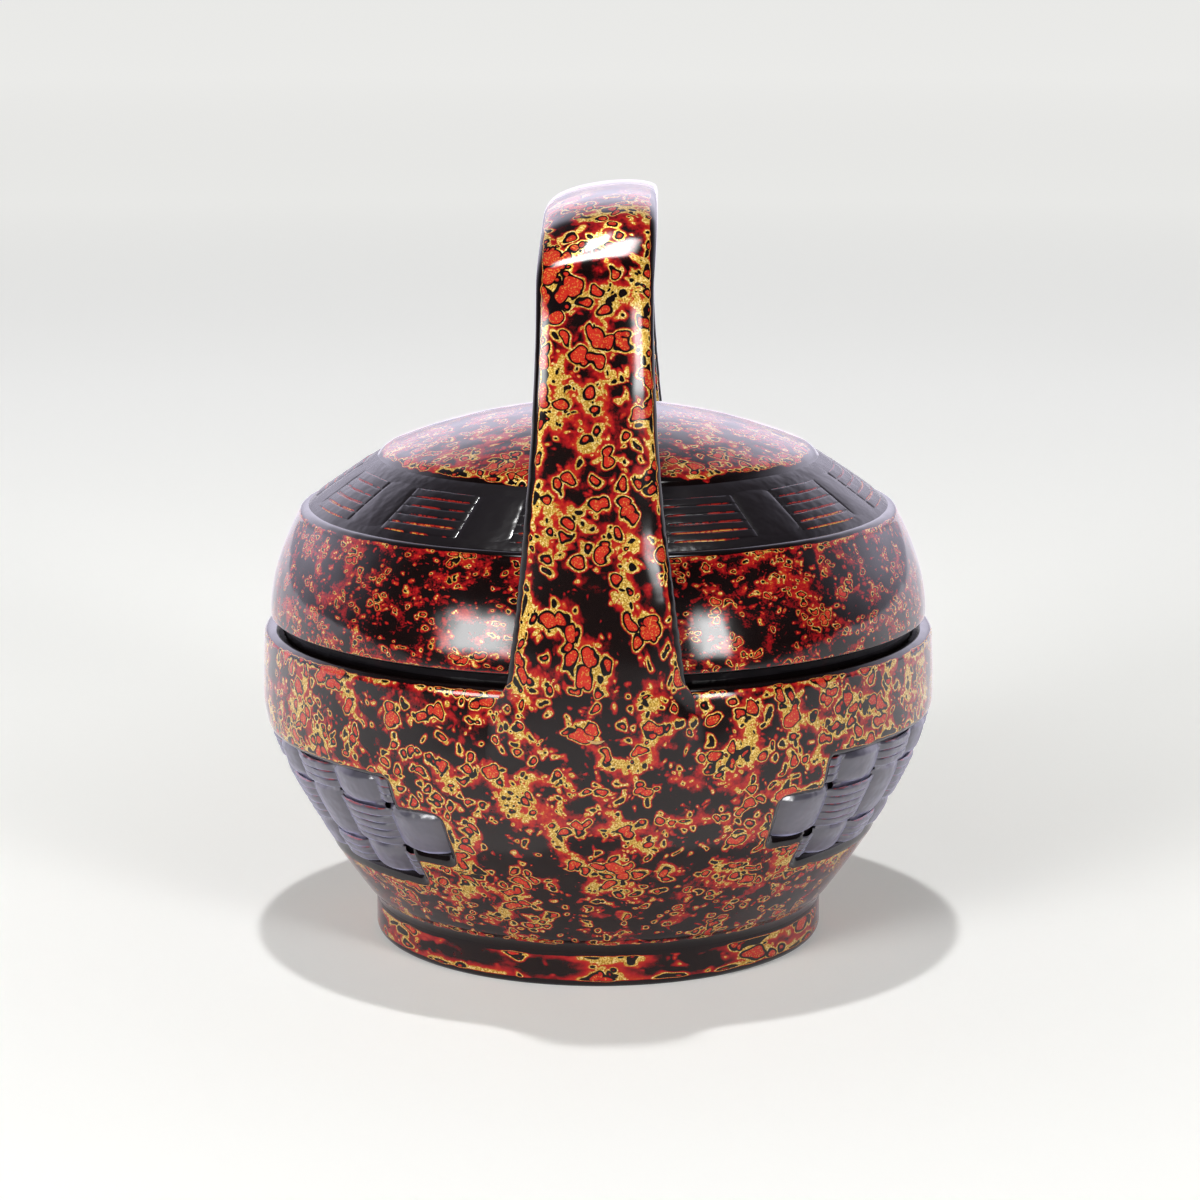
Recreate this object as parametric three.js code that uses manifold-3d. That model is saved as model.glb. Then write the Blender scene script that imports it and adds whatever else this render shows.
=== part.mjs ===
import * as THREE from 'three';
import { mergeVertices } from 'three/addons/utils/BufferGeometryUtils.js';
import Module from 'manifold-3d';

const wasm = await Module();
wasm.setup();

// A lidded lacquer basket with a fixed strap handle.
// Millimetres and degrees, +Z up, front towards -Y, standing on Z = 0 with its axis on Z.
// Azimuths are measured from the front towards +X.

// Foot and floor
const FOOT_RADIUS = 60.3;
const FOOT_HEIGHT = 9.5;
const FOOT_WALL = 7;
const FOOT_EDGE = 0.8;
const FLOOR_SINK = 4.3;
const FLOOR_THICKNESS = 3.6;

// Bowl wall: a lower curve from the foot to the belly, an upper one from the belly to the rim
const NECK_STEP = 0.1;
const BELLY_RADIUS = 90;
const BELLY_HEIGHT = 67;
const BELLY_TURN = 17;
const RIM_DRAW_IN = 2.5;
const RIM_RISE = 17.5;
const RIM_TURN = 13;
const RIM_HOOP_HEIGHT = 1.1;
const RIM_HOOP_SETBACK = 0.8;

// Layers of the wall, the same on bowl and lid
const SKIN_WALL = 3;
const CORE_WALL = 2.2;
const CLEARANCE = 0.3;

// Collar and lid mouth
const COLLAR_WALL = 2.4;
const COLLAR_RISE = 5;
const COLLAR_DEPTH = 12;
const LID_PLAY = 0.6;
const LID_GROOVE = 1.4;
const LID_HOOP_WALL = 2.2;
const LID_SEAT_LAND = 2;
const LID_LIP_HEIGHT = 1.2;
const LID_LIP_SETBACK = 0.9;

// Lid outline: upright band, woven ring, domed cap
const SHOULDER_RISE = 27.5;
const SHOULDER_DRAW_IN = 8.8;
const SHOULDER_TURN = 12.5;
const WEAVE_RING_RUN = 21.7;
const WEAVE_RING_RISE = 15;
const CAP_RISE = 11.4;

// Handle strap
const HAND_GAP = 52.4;
const STRAP_THICKNESS = 5.5;
const STRAP_WIDTH = 28;
const STRAP_FOOT_WIDTH = 48;
const STRAP_FOOT_DROP = 23;
const STRAP_FOOT_CORNER = 8.5;
const STRAP_FOOT_EDGE = 0.8;
const STRAP_FLARE_DROP = 28;
const STRAP_FLARE_TURN = 60;
const STRAP_PLAY = 1.3;
const STRAP_LEAN = 4;
const STRAP_LEAN_START = 53;
const STRAP_CROWN = 7.3;
const STRAP_CORNER = 11;
const HANDLE_SHIFT = 1.1;
const HANDLE_SKEW = 0.018;
const PEG_RADIUS = 3;
const PEG_DROP = 10;

// Woven strips in two levels, the under one WEAVE_BED clear of the core
const STRIP_THICKNESS = 0.9;
const WEAVE_BED = 0.5;
const STRIP_GAP = 0.4;
const STAKE_SHARE = 0.26;
const FLOAT_SHARE = 0.34;

// Windows in the bowl: `front` is the azimuth of the near end, `along` the wall length up to the middle
const WINDOWS = [
  { name: 'right', side: 1, front: 32, along: 44 },
  { name: 'left', side: -1, front: 28, along: 39 },
];
const WINDOW_STAKES = 10;
const WINDOW_STAKE_PITCH = 12;
const WINDOW_HALF_HEIGHT = 17;
const WINDOW_TIER_SPLIT = 7.4;
const WINDOW_TIER_STEP = 9;
const WINDOW_EDGE_ANGLE = 0.4;
const WINDOW_EDGE = 0.4;
const OUTER_TIER_WEFTS = 3;
const OUTER_TIER_MIDDLE = 12.4;
const MIDDLE_TIER_WEFTS = 5;
const WEFT_PITCH = 2.4;
const WEFT_WIDTH = 1.9;

// Woven ring of the lid, measured up the slope from the shoulder
const LID_STAKES = 24;
const LID_WEFTS = 5;
const LID_WEFT_PITCH = 3.1;
const LID_WEFT_WIDTH = 2.5;
const LID_WEFT_START = 4;
const LID_STAKE_START = 2;
const LID_STAKE_HOOP_WIDTH = 2.4;
const LID_STAKE_HOOP_GAP = 0.4;

// Facets of the round pieces
const ROUND_SEGMENTS = 36;
const WALL_STEPS = 8;
const INSIDE_STEPS = 5;
const BAND_STEPS = 4;
const CAP_STEPS = 4;
const COLLAR_STEPS = 2;
const STRAP_STEPS = 4;
const FLARE_STEPS = 6;
const PEG_SIDES = 16;
const CUT_MARGIN = 4;
const MERGE_DISTANCE = 1e-4;

// Sizes worked out from the ones above
const neckHeight = FOOT_HEIGHT + CLEARANCE;
const neckRadius = FOOT_RADIUS + NECK_STEP;
const footBore = FOOT_RADIUS - FOOT_WALL;
const rimRadius = BELLY_RADIUS - RIM_DRAW_IN;
const rimHeight = BELLY_HEIGHT + RIM_RISE;
const hoopBase = rimHeight + CLEARANCE;
const hoopTop = hoopBase + RIM_HOOP_HEIGHT;
const lidBase = hoopTop + LID_GROOVE;
const lipTop = lidBase + LID_LIP_HEIGHT;
const lidRadius = rimRadius;
const coreDepth = SKIN_WALL + CLEARANCE;
const insideDepth = coreDepth + CORE_WALL;
const collarTop = lidBase + COLLAR_RISE;
const lidSeat = collarTop + CLEARANCE;
const shoulderRadius = lidRadius - SHOULDER_DRAW_IN;
const shoulderHeight = lipTop + SHOULDER_RISE;
const capRadius = shoulderRadius - WEAVE_RING_RUN;
const capHeight = shoulderHeight + WEAVE_RING_RISE;
const apexHeight = capHeight + CAP_RISE;
const strapInner = lidRadius + STRAP_PLAY;
const strapOuter = strapInner + STRAP_THICKNESS;
const strapUnderside = apexHeight + HAND_GAP;
const strapTop = strapUnderside + STRAP_THICKNESS;
const strapFootEnd = rimHeight - STRAP_FOOT_DROP;
const underLevel = coreDepth - WEAVE_BED - STRIP_THICKNESS;
const overLevel = underLevel - STRIP_GAP - STRIP_THICKNESS;
const degree = Math.PI / 180;

// Outlines in the plane of radius and height
const point = (radius, height) => new THREE.Vector2(radius, height);

const bowlWall = new THREE.CurvePath();
bowlWall.add(new THREE.QuadraticBezierCurve(
  point(neckRadius, neckHeight),
  point(BELLY_RADIUS, BELLY_HEIGHT - BELLY_TURN),
  point(BELLY_RADIUS, BELLY_HEIGHT),
));
bowlWall.add(new THREE.QuadraticBezierCurve(
  point(BELLY_RADIUS, BELLY_HEIGHT),
  point(BELLY_RADIUS, BELLY_HEIGHT + RIM_TURN),
  point(rimRadius, rimHeight),
));

const lidSide = new THREE.QuadraticBezierCurve(
  point(lidRadius, lipTop),
  point(lidRadius, lipTop + SHOULDER_TURN),
  point(shoulderRadius, shoulderHeight),
);
const lidSlope = new THREE.LineCurve(point(shoulderRadius, shoulderHeight), point(capRadius, capHeight));

const domeRadius = (capRadius ** 2 + CAP_RISE ** 2) / (2 * CAP_RISE);
const domeAngle = Math.asin(capRadius / domeRadius);
const capEdgeLean = Math.atan2(WEAVE_RING_RISE, WEAVE_RING_RUN) - domeAngle;
const lidDome = new THREE.EllipseCurve(
  0, apexHeight - domeRadius,
  domeRadius, domeRadius,
  Math.PI / 2 - domeAngle, Math.PI / 2,
);

// A place on an outline: `along` millimetres up it and `depth` millimetres below its face
function below(curve, along, depth) {
  const share = along / curve.getLength();
  const place = curve.getPointAt(share);
  const rise = curve.getTangentAt(share);
  return point(place.x - depth * rise.y, place.y + depth * rise.x);
}

// The hoop in the lid's mouth clears the band, which leans in, and the collar clears the hoop
const lidHoopOuter = below(lidSide, collarTop - lipTop, coreDepth).x - CLEARANCE;
const lidHoopInner = lidHoopOuter - LID_HOOP_WALL;
const collarOuter = lidHoopInner - LID_PLAY;
const collarInner = collarOuter - COLLAR_WALL;

function offsetOutline(curve, depth, steps, start = 0, end = curve.getLength()) {
  const places = [];
  for (let i = 0; i <= steps; i += 1) {
    places.push(below(curve, start + ((end - start) * i) / steps, depth));
  }
  return places;
}

function around(place, azimuth) {
  const turn = azimuth * degree;
  return new THREE.Vector3(place.x * Math.sin(turn), -place.x * Math.cos(turn), place.y);
}

// Closed bodies from outlines, from rings of corners and from cuts
function positionsOnly(geometry) {
  geometry.deleteAttribute('normal');
  geometry.deleteAttribute('uv');
  return mergeVertices(geometry, MERGE_DISTANCE);
}

function turned(outline, closed = true) {
  const profile = closed ? [...outline, outline[0]] : outline;
  const geometry = new THREE.LatheGeometry(profile, ROUND_SEGMENTS);
  return positionsOnly(geometry.rotateX(Math.PI / 2));
}

function signedVolume(corners, faces) {
  let volume = 0;
  for (let i = 0; i < faces.length; i += 3) {
    const [a, b, c] = [corners[faces[i]], corners[faces[i + 1]], corners[faces[i + 2]]];
    volume += a.dot(new THREE.Vector3().crossVectors(b, c)) / 6;
  }
  return volume;
}

function lofted(rings, loop = false) {
  const sides = rings[0].length;
  const spans = loop ? rings.length : rings.length - 1;
  const faces = [];
  for (let i = 0; i < spans; i += 1) {
    const here = i * sides;
    const next = ((i + 1) % rings.length) * sides;
    for (let j = 0; j < sides; j += 1) {
      const k = (j + 1) % sides;
      faces.push(here + j, here + k, next + k, here + j, next + k, next + j);
    }
  }
  const end = (rings.length - 1) * sides;
  for (let j = 1; !loop && j < sides - 1; j += 1) {
    faces.push(0, j + 1, j, end, end + j, end + j + 1);
  }
  const corners = rings.flat();
  if (signedVolume(corners, faces) < 0) {
    faces.reverse();
  }
  const geometry = new THREE.BufferGeometry().setFromPoints(corners);
  geometry.setIndex(faces);
  return geometry;
}

function solid(geometry) {
  const vertProperties = new Float32Array(geometry.attributes.position.array);
  const triVerts = new Uint32Array(geometry.index.array);
  return new wasm.Manifold(new wasm.Mesh({ numProp: 3, vertProperties, triVerts }));
}

function geometryOf(body) {
  const mesh = body.getMesh();
  const geometry = new THREE.BufferGeometry();
  geometry.setAttribute('position', new THREE.BufferAttribute(new Float32Array(mesh.vertProperties), 3));
  geometry.setIndex(new THREE.BufferAttribute(new Uint32Array(mesh.triVerts), 1));
  return geometry;
}

function cutAway(geometry, cutters) {
  return geometryOf(cutters.reduce((rest, cutter) => rest.subtract(cutter), solid(geometry)));
}

// Finishes
const finish = (color, roughness) => new THREE.MeshStandardMaterial({ color, roughness, metalness: 0 });
const finishes = {
  mottle: finish(0x5a1a14, 0.2),
  black: finish(0x0b0a0b, 0.25),
  weave: finish(0x161214, 0.35),
  bamboo: finish(0x9a7440, 0.6),
};

const basket = new THREE.Group();
const lid = new THREE.Group();
basket.add(lid);

function addPart(group, name, geometry, look) {
  geometry.computeVertexNormals();
  const mesh = new THREE.Mesh(geometry, finishes[look].clone());
  mesh.name = name;
  group.add(mesh);
}

const wallLength = bowlWall.getLength();
const collarStart = wallLength - COLLAR_DEPTH;

// Foot ring
function footRing() {
  return turned([
    point(footBore + FOOT_EDGE, 0),
    point(FOOT_RADIUS - FOOT_EDGE, 0),
    point(FOOT_RADIUS, FOOT_EDGE),
    point(FOOT_RADIUS, FOOT_HEIGHT - FOOT_EDGE),
    point(FOOT_RADIUS - FOOT_EDGE, FOOT_HEIGHT),
    point(footBore, FOOT_HEIGHT),
    point(footBore, FOOT_EDGE),
  ]);
}

// Woven core of the bowl, whose floor drops into the foot ring
function bowlCore() {
  const outside = offsetOutline(bowlWall, coreDepth, WALL_STEPS);
  const lowerInside = offsetOutline(bowlWall, insideDepth, INSIDE_STEPS, 0, collarStart);
  const upperInside = offsetOutline(bowlWall, insideDepth, COLLAR_STEPS, collarStart);
  const inside = [...lowerInside.slice(0, -1), ...upperInside].reverse();
  const boss = footBore - CLEARANCE;
  const floorBase = neckHeight - FLOOR_SINK;
  const floorTop = floorBase + FLOOR_THICKNESS;
  return turned([
    point(0, floorBase),
    point(boss, floorBase),
    point(boss, neckHeight),
    point(outside[0].x, neckHeight),
    ...outside,
    ...inside,
    point(boss - FLOOR_THICKNESS, floorTop),
    point(0, floorTop),
  ], false);
}

// Lacquer skin of the bowl
function bowlSkin() {
  const outside = offsetOutline(bowlWall, 0, WALL_STEPS);
  const inside = offsetOutline(bowlWall, SKIN_WALL, WALL_STEPS).reverse();
  return turned([...outside, ...inside, point(inside[WALL_STEPS].x, neckHeight)]);
}

function rimHoop() {
  const inner = collarOuter + CLEARANCE;
  const outer = rimRadius - RIM_HOOP_SETBACK;
  return turned([
    point(inner, hoopBase),
    point(outer, hoopBase),
    point(outer, hoopTop),
    point(inner, hoopTop),
  ]);
}

// Collar: bedded against the core below the rim, upright above it
function lidCollar() {
  const bed = offsetOutline(bowlWall, insideDepth + CLEARANCE, COLLAR_STEPS, collarStart);
  return turned([
    point(collarInner, bed[0].y),
    ...bed,
    point(collarOuter, bed[COLLAR_STEPS].y + CLEARANCE),
    point(collarOuter, collarTop),
    point(collarInner, collarTop),
  ]);
}

// Lid shells
function lidBand() {
  const outside = offsetOutline(lidSide, 0, BAND_STEPS);
  const inside = offsetOutline(lidSide, SKIN_WALL, BAND_STEPS).reverse();
  return turned([
    point(lidRadius - SKIN_WALL, lidBase),
    point(lidRadius - LID_LIP_SETBACK, lidBase),
    ...outside,
    ...inside,
  ]);
}

function lidCap() {
  const above = offsetOutline(lidDome, 0, CAP_STEPS);
  const under = offsetOutline(lidDome, SKIN_WALL, CAP_STEPS).reverse();
  return turned([...under, ...above], false);
}

function lidShellOutline(depth) {
  const cornerTrim = depth / 2;
  const sideStart = lidSeat - lipTop + LID_SEAT_LAND;
  const side = offsetOutline(lidSide, depth, BAND_STEPS, sideStart, lidSide.getLength() - cornerTrim);
  return [
    point(side[0].x, lidSeat),
    ...side,
    ...offsetOutline(lidSlope, depth, 1, cornerTrim, lidSlope.getLength() - cornerTrim),
    ...offsetOutline(lidDome, depth, CAP_STEPS, cornerTrim),
  ];
}

function lidCore() {
  return turned([...lidShellOutline(insideDepth).reverse(), ...lidShellOutline(coreDepth)], false);
}

function lidRimHoop() {
  const base = lidBase + CLEARANCE;
  return turned([
    point(lidHoopInner, base),
    point(lidHoopOuter, base),
    point(lidHoopOuter, collarTop),
    point(lidHoopInner, collarTop),
  ]);
}

// One strip's corners where it crosses a line of the wall or of the slope
function weftCorners(curve, along, width, level, azimuth) {
  const places = [[-0.5, 0], [0.5, 0], [0.5, 1], [-0.5, 1]];
  return places.map(([across, deep]) => around(
    below(curve, along + across * width, level + deep * STRIP_THICKNESS),
    azimuth,
  ));
}

function stakeCorners(curve, along, halfAngle, level, azimuth) {
  const places = [[-1, 0], [1, 0], [1, 1], [-1, 1]];
  return places.map(([across, deep]) => around(
    below(curve, along, level + deep * STRIP_THICKNESS),
    azimuth + across * halfAngle,
  ));
}

const stripLevel = (isOver) => (isOver ? overLevel : underLevel);

// Window tiers, from the lowest up: the middle one is longer by a step at each end.
// The outer tiers' cuts run on to the window's middle, so that no sliver is left between tiers.
const tiers = [
  {
    name: 'lower', middle: -OUTER_TIER_MIDDLE, wefts: OUTER_TIER_WEFTS, step: WINDOW_TIER_STEP,
    cut: [-WINDOW_HALF_HEIGHT, 0],
  },
  {
    name: 'middle', middle: 0, wefts: MIDDLE_TIER_WEFTS, step: 0,
    cut: [-WINDOW_TIER_SPLIT, WINDOW_TIER_SPLIT],
  },
  {
    name: 'upper', middle: OUTER_TIER_MIDDLE, wefts: OUTER_TIER_WEFTS, step: WINDOW_TIER_STEP,
    cut: [0, WINDOW_HALF_HEIGHT],
  },
];
const windowSpan = WINDOW_STAKES * WINDOW_STAKE_PITCH;
const stakeAngle = (index) => (index + 0.5) * WINDOW_STAKE_PITCH;
const stakeIsOver = (index, tier) => (index + tier) % 2 === 1;

function windowCutter(window, tier) {
  const start = window.front + tier.step;
  const end = window.front + windowSpan - tier.step;
  const [low, high] = tier.cut;
  const rings = [];
  for (let i = 0; i <= WINDOW_STAKES; i += 1) {
    const azimuth = window.side * (start + ((end - start) * i) / WINDOW_STAKES);
    const places = [[low, -CUT_MARGIN], [high, -CUT_MARGIN], [high, CUT_MARGIN], [low, CUT_MARGIN]];
    rings.push(places.map(([up, depth]) => around(below(bowlWall, window.along + up, depth), azimuth)));
  }
  return solid(lofted(rings));
}

// An end stake stands in the middle tier alone, the others pass through all three
function windowStake(window, index) {
  const isEnd = index === 0 || index === WINDOW_STAKES - 1;
  const azimuth = window.side * (window.front + stakeAngle(index));
  const halfAngle = STAKE_SHARE * WINDOW_STAKE_PITCH;
  const reach = (isEnd ? WINDOW_TIER_SPLIT : WINDOW_HALF_HEIGHT) - WINDOW_EDGE;
  const rings = [];
  tiers.forEach((tier, number) => {
    if (isEnd && tier.step > 0) {
      return;
    }
    const level = stripLevel(stakeIsOver(index, number));
    const half = (tier.wefts * WEFT_PITCH) / 2;
    const low = isEnd || number === 0 ? -reach : tier.middle - half;
    const high = isEnd || number === tiers.length - 1 ? reach : tier.middle + half;
    [low, (low + high) / 2, high].forEach((up) => {
      rings.push(stakeCorners(bowlWall, window.along + up, halfAngle, level, azimuth));
    });
  });
  return lofted(rings);
}

// A weft lies over every other stake and under the rest
function windowWeft(window, number, row) {
  const tier = tiers[number];
  const along = window.along + tier.middle + (row - (tier.wefts - 1) / 2) * WEFT_PITCH;
  const start = tier.step + WINDOW_EDGE_ANGLE;
  const end = windowSpan - start;
  const half = FLOAT_SHARE * WINDOW_STAKE_PITCH;
  const rings = [];
  const addRing = (angle, level) => {
    const azimuth = window.side * (window.front + angle);
    rings.push(weftCorners(bowlWall, along, WEFT_WIDTH, level, azimuth));
  };
  const levelAt = (index) => stripLevel(!stakeIsOver(index, number));
  const firstStake = tier.step > 0 ? 1 : 0;
  const lastStake = WINDOW_STAKES - 1 - firstStake;
  addRing(start, levelAt(firstStake));
  for (let index = firstStake; index <= lastStake; index += 1) {
    addRing(stakeAngle(index) - half, levelAt(index));
    addRing(stakeAngle(index) + half, levelAt(index));
  }
  addRing(end, levelAt(lastStake));
  return lofted(rings);
}

// Radial stakes of the lid, every other one raised over the wefts, on a hoop under the cap's edge
const lidStakePitch = 360 / LID_STAKES;
const lidStakeAngle = (index) => (index + 0.5) * lidStakePitch;
const lidStakeIsOver = (index) => index % 2 === 0;

function lidStakeWheel() {
  const capEdgeReach = (underLevel + STRIP_THICKNESS) * Math.tan(capEdgeLean);
  const slopeEnd = lidSlope.getLength() - capEdgeReach - LID_STAKE_HOOP_GAP;
  const hoopMiddle = slopeEnd - LID_STAKE_HOOP_WIDTH / 2;
  const wovenEnd = LID_WEFT_START + LID_WEFTS * LID_WEFT_PITCH;
  const hoopRings = [];
  for (let i = 0; i < 2 * LID_STAKES; i += 1) {
    const azimuth = (i * lidStakePitch) / 2;
    hoopRings.push(weftCorners(lidSlope, hoopMiddle, LID_STAKE_HOOP_WIDTH, underLevel, azimuth));
  }
  const bodies = [solid(lofted(hoopRings, true))];
  for (let index = 0; index < LID_STAKES; index += 1) {
    const level = stripLevel(lidStakeIsOver(index));
    const raised = [[wovenEnd, level], [hoopMiddle - LID_STAKE_HOOP_WIDTH / 2, underLevel]];
    const stations = [
      [LID_STAKE_START, level],
      ...(lidStakeIsOver(index) ? raised : []),
      [hoopMiddle, underLevel],
    ];
    bodies.push(solid(lofted(stations.map(([along, depth]) => stakeCorners(
      lidSlope, along, STAKE_SHARE * lidStakePitch, depth, lidStakeAngle(index),
    )))));
  }
  return geometryOf(bodies.reduce((whole, next) => whole.add(next)));
}

function lidWeft(row) {
  const along = LID_WEFT_START + (row + 0.5) * LID_WEFT_PITCH;
  const half = FLOAT_SHARE * lidStakePitch;
  const rings = [];
  for (let index = 0; index < LID_STAKES; index += 1) {
    const level = stripLevel(!lidStakeIsOver(index));
    [-half, half].forEach((offset) => {
      const azimuth = lidStakeAngle(index) + offset;
      rings.push(weftCorners(lidSlope, along, LID_WEFT_WIDTH, level, azimuth));
    });
  }
  return lofted(rings, true);
}

// Handle strap: its side outline and its front outline crossed, then fitted to the bowl
const strapLeanStart = lidBase + STRAP_LEAN_START;
const strapLeanEnd = strapTop - STRAP_CROWN - STRAP_CORNER;
const strapCornerOut = strapOuter - STRAP_LEAN;
const strapCornerEnd = point(strapCornerOut - STRAP_CORNER, strapTop - STRAP_CROWN);
const strapLine = [
  new THREE.LineCurve(point(strapOuter, rimHeight - CLEARANCE), point(strapOuter, strapLeanStart)),
  new THREE.QuadraticBezierCurve(
    point(strapOuter, strapLeanStart),
    point(strapOuter, (strapLeanStart + strapLeanEnd) / 2),
    point(strapCornerOut, strapLeanEnd),
  ),
  new THREE.QuadraticBezierCurve(
    point(strapCornerOut, strapLeanEnd),
    point(strapCornerOut, strapCornerEnd.y),
    strapCornerEnd,
  ),
  new THREE.QuadraticBezierCurve(
    strapCornerEnd,
    point(strapCornerEnd.x / 2, strapTop),
    point(0, strapTop),
  ),
];

function extruded(outline, depth) {
  const shape = new THREE.Shape(outline);
  const geometry = new THREE.ExtrudeGeometry(shape, { depth, bevelEnabled: false });
  return positionsOnly(geometry.translate(0, 0, -depth / 2));
}

function strapSideBody() {
  const line = (depth) => strapLine.flatMap((curve) => offsetOutline(curve, depth, STRAP_STEPS).slice(0, -1));
  const mirrored = (places) => places.map((place) => point(-place.x, place.y));
  const hidden = strapInner - 2 * CUT_MARGIN;
  const footBelow = strapFootEnd - CUT_MARGIN;
  const outer = [point(hidden, footBelow), point(strapOuter, footBelow), ...line(0)];
  const inner = [point(hidden, rimHeight - CLEARANCE), ...line(STRAP_THICKNESS)];
  const geometry = extruded([
    ...outer,
    point(0, strapTop),
    ...mirrored(outer).reverse(),
    ...mirrored(inner),
    point(0, strapUnderside),
    ...[...inner].reverse(),
  ], STRAP_FOOT_WIDTH + 2 * CUT_MARGIN);
  const [alongX, alongY, alongZ] = [0, 1, 2].map((axis) => new THREE.Vector3().setComponent(axis, 1));
  return solid(geometry.applyMatrix4(new THREE.Matrix4().makeBasis(alongY, alongZ, alongX)));
}

function strapFrontBody() {
  const half = STRAP_WIDTH / 2;
  const footHalf = STRAP_FOOT_WIDTH / 2;
  const flare = new THREE.QuadraticBezierCurve(
    point(half, strapTop - STRAP_FLARE_DROP),
    point(half, strapTop - STRAP_FLARE_TURN),
    point(footHalf, strapFootEnd + STRAP_FOOT_CORNER),
  );
  const corner = new THREE.QuadraticBezierCurve(
    point(footHalf, strapFootEnd + STRAP_FOOT_CORNER),
    point(footHalf, strapFootEnd),
    point(half, strapFootEnd),
  );
  const right = [
    point(half, strapTop + CUT_MARGIN),
    ...flare.getPoints(FLARE_STEPS),
    ...corner.getPoints(STRAP_STEPS).slice(1),
  ];
  const left = right.map((place) => point(-place.x, place.y)).reverse();
  const geometry = extruded([...left, ...right].reverse(), 2 * (strapOuter + CUT_MARGIN));
  return solid(geometry.rotateX(Math.PI / 2));
}

// How far the strap's foot stands proud of the wall, from its lower edge up to the rim
function strapProud(riseShare) {
  return STRAP_FOOT_EDGE + (strapOuter - rimRadius - STRAP_FOOT_EDGE) * riseShare ** 2;
}

function strapLimitBody() {
  const foot = [];
  for (let i = 0; i <= STRAP_STEPS; i += 1) {
    const share = i / STRAP_STEPS;
    foot.push(below(bowlWall, wallLength - STRAP_FOOT_DROP * (1 - share), -strapProud(share)));
  }
  const open = strapOuter + 2 * CUT_MARGIN;
  const base = strapFootEnd - 2 * CUT_MARGIN;
  return solid(turned([
    point(0, base),
    point(foot[0].x, base),
    ...foot,
    point(open, strapLeanStart),
    point(open, strapTop + CUT_MARGIN),
    point(0, strapTop + CUT_MARGIN),
  ], false));
}

function bowlVolume() {
  const face = offsetOutline(bowlWall, -CLEARANCE, WALL_STEPS);
  return solid(turned([point(0, face[0].y), ...face, point(0, face[WALL_STEPS].y)], false));
}

const handleMiddle = (y) => HANDLE_SHIFT + HANDLE_SKEW * y;

function handleStrap(pegHoles) {
  const skew = new THREE.Matrix4().makeShear(0, 0, HANDLE_SKEW, 0, 0, 0).setPosition(HANDLE_SHIFT, 0, 0);
  const blank = geometryOf(strapSideBody().intersect(strapFrontBody())).applyMatrix4(skew);
  const fitted = geometryOf(solid(blank).intersect(strapLimitBody()));
  return cutAway(fitted, [bowlVolume(), ...pegHoles]);
}

// A peg through the strap's foot and the bowl's wall, at the front (-1) or the back (1).
// Its hole has spare room all round and runs out past both faces.
function handlePeg(direction, spare = 0) {
  const along = wallLength - PEG_DROP;
  const proud = strapProud(1 - PEG_DROP / STRAP_FOOT_DROP);
  const outer = below(bowlWall, along, CLEARANCE - proud);
  const inner = below(bowlWall, along, insideDepth - CLEARANCE);
  const overrun = 2 * spare;
  const length = outer.x - inner.x + 2 * overrun;
  const middle = (direction * (outer.x + inner.x)) / 2;
  const radius = PEG_RADIUS + spare;
  const geometry = new THREE.CylinderGeometry(radius, radius, length, PEG_SIDES);
  return positionsOnly(geometry.translate(handleMiddle(middle), middle, outer.y));
}

// The whole basket, piece by piece
const pegs = { front: -1, back: 1 };
const pegHoles = Object.values(pegs).map((direction) => solid(handlePeg(direction, CLEARANCE)));
const windowCutters = WINDOWS.flatMap((window) => tiers.map((tier) => windowCutter(window, tier)));

addPart(basket, 'foot_ring', footRing(), 'mottle');
addPart(basket, 'bowl_core', cutAway(bowlCore(), pegHoles), 'black');
addPart(basket, 'bowl_skin', cutAway(bowlSkin(), [...windowCutters, ...pegHoles]), 'mottle');
addPart(basket, 'rim_hoop', rimHoop(), 'black');
addPart(basket, 'lid_collar', lidCollar(), 'black');
addPart(basket, 'handle_strap', handleStrap(pegHoles), 'mottle');
Object.entries(pegs).forEach(([name, direction]) => {
  addPart(basket, `handle_peg_${name}`, handlePeg(direction), 'bamboo');
});

WINDOWS.forEach((window) => {
  for (let index = 0; index < WINDOW_STAKES; index += 1) {
    const number = String(index + 1).padStart(2, '0');
    addPart(basket, `${window.name}_stake_${number}`, windowStake(window, index), 'weave');
  }
  tiers.forEach((tier, number) => {
    for (let row = 0; row < tier.wefts; row += 1) {
      const name = `${window.name}_weft_${tier.name}_${row + 1}`;
      addPart(basket, name, windowWeft(window, number, row), 'weave');
    }
  });
});

addPart(lid, 'lid_core', lidCore(), 'black');
addPart(lid, 'lid_band', lidBand(), 'mottle');
addPart(lid, 'lid_cap', lidCap(), 'mottle');
addPart(lid, 'lid_rim_hoop', lidRimHoop(), 'black');
addPart(lid, 'lid_stake_wheel', lidStakeWheel(), 'weave');
for (let row = 0; row < LID_WEFTS; row += 1) {
  addPart(lid, `lid_weft_${row + 1}`, lidWeft(row), 'weave');
}

export default basket;
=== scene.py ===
"""A lidded lacquer basket with an arched strap handle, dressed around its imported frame.

Shapes are worked out in millimetres and scaled to metres when a piece is finished.
An azimuth is in degrees from the front (-Y) towards the right (+X).
"""
import bisect
import functools
import math

import bmesh
import bpy
from mathutils import Matrix, Vector, noise


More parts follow.
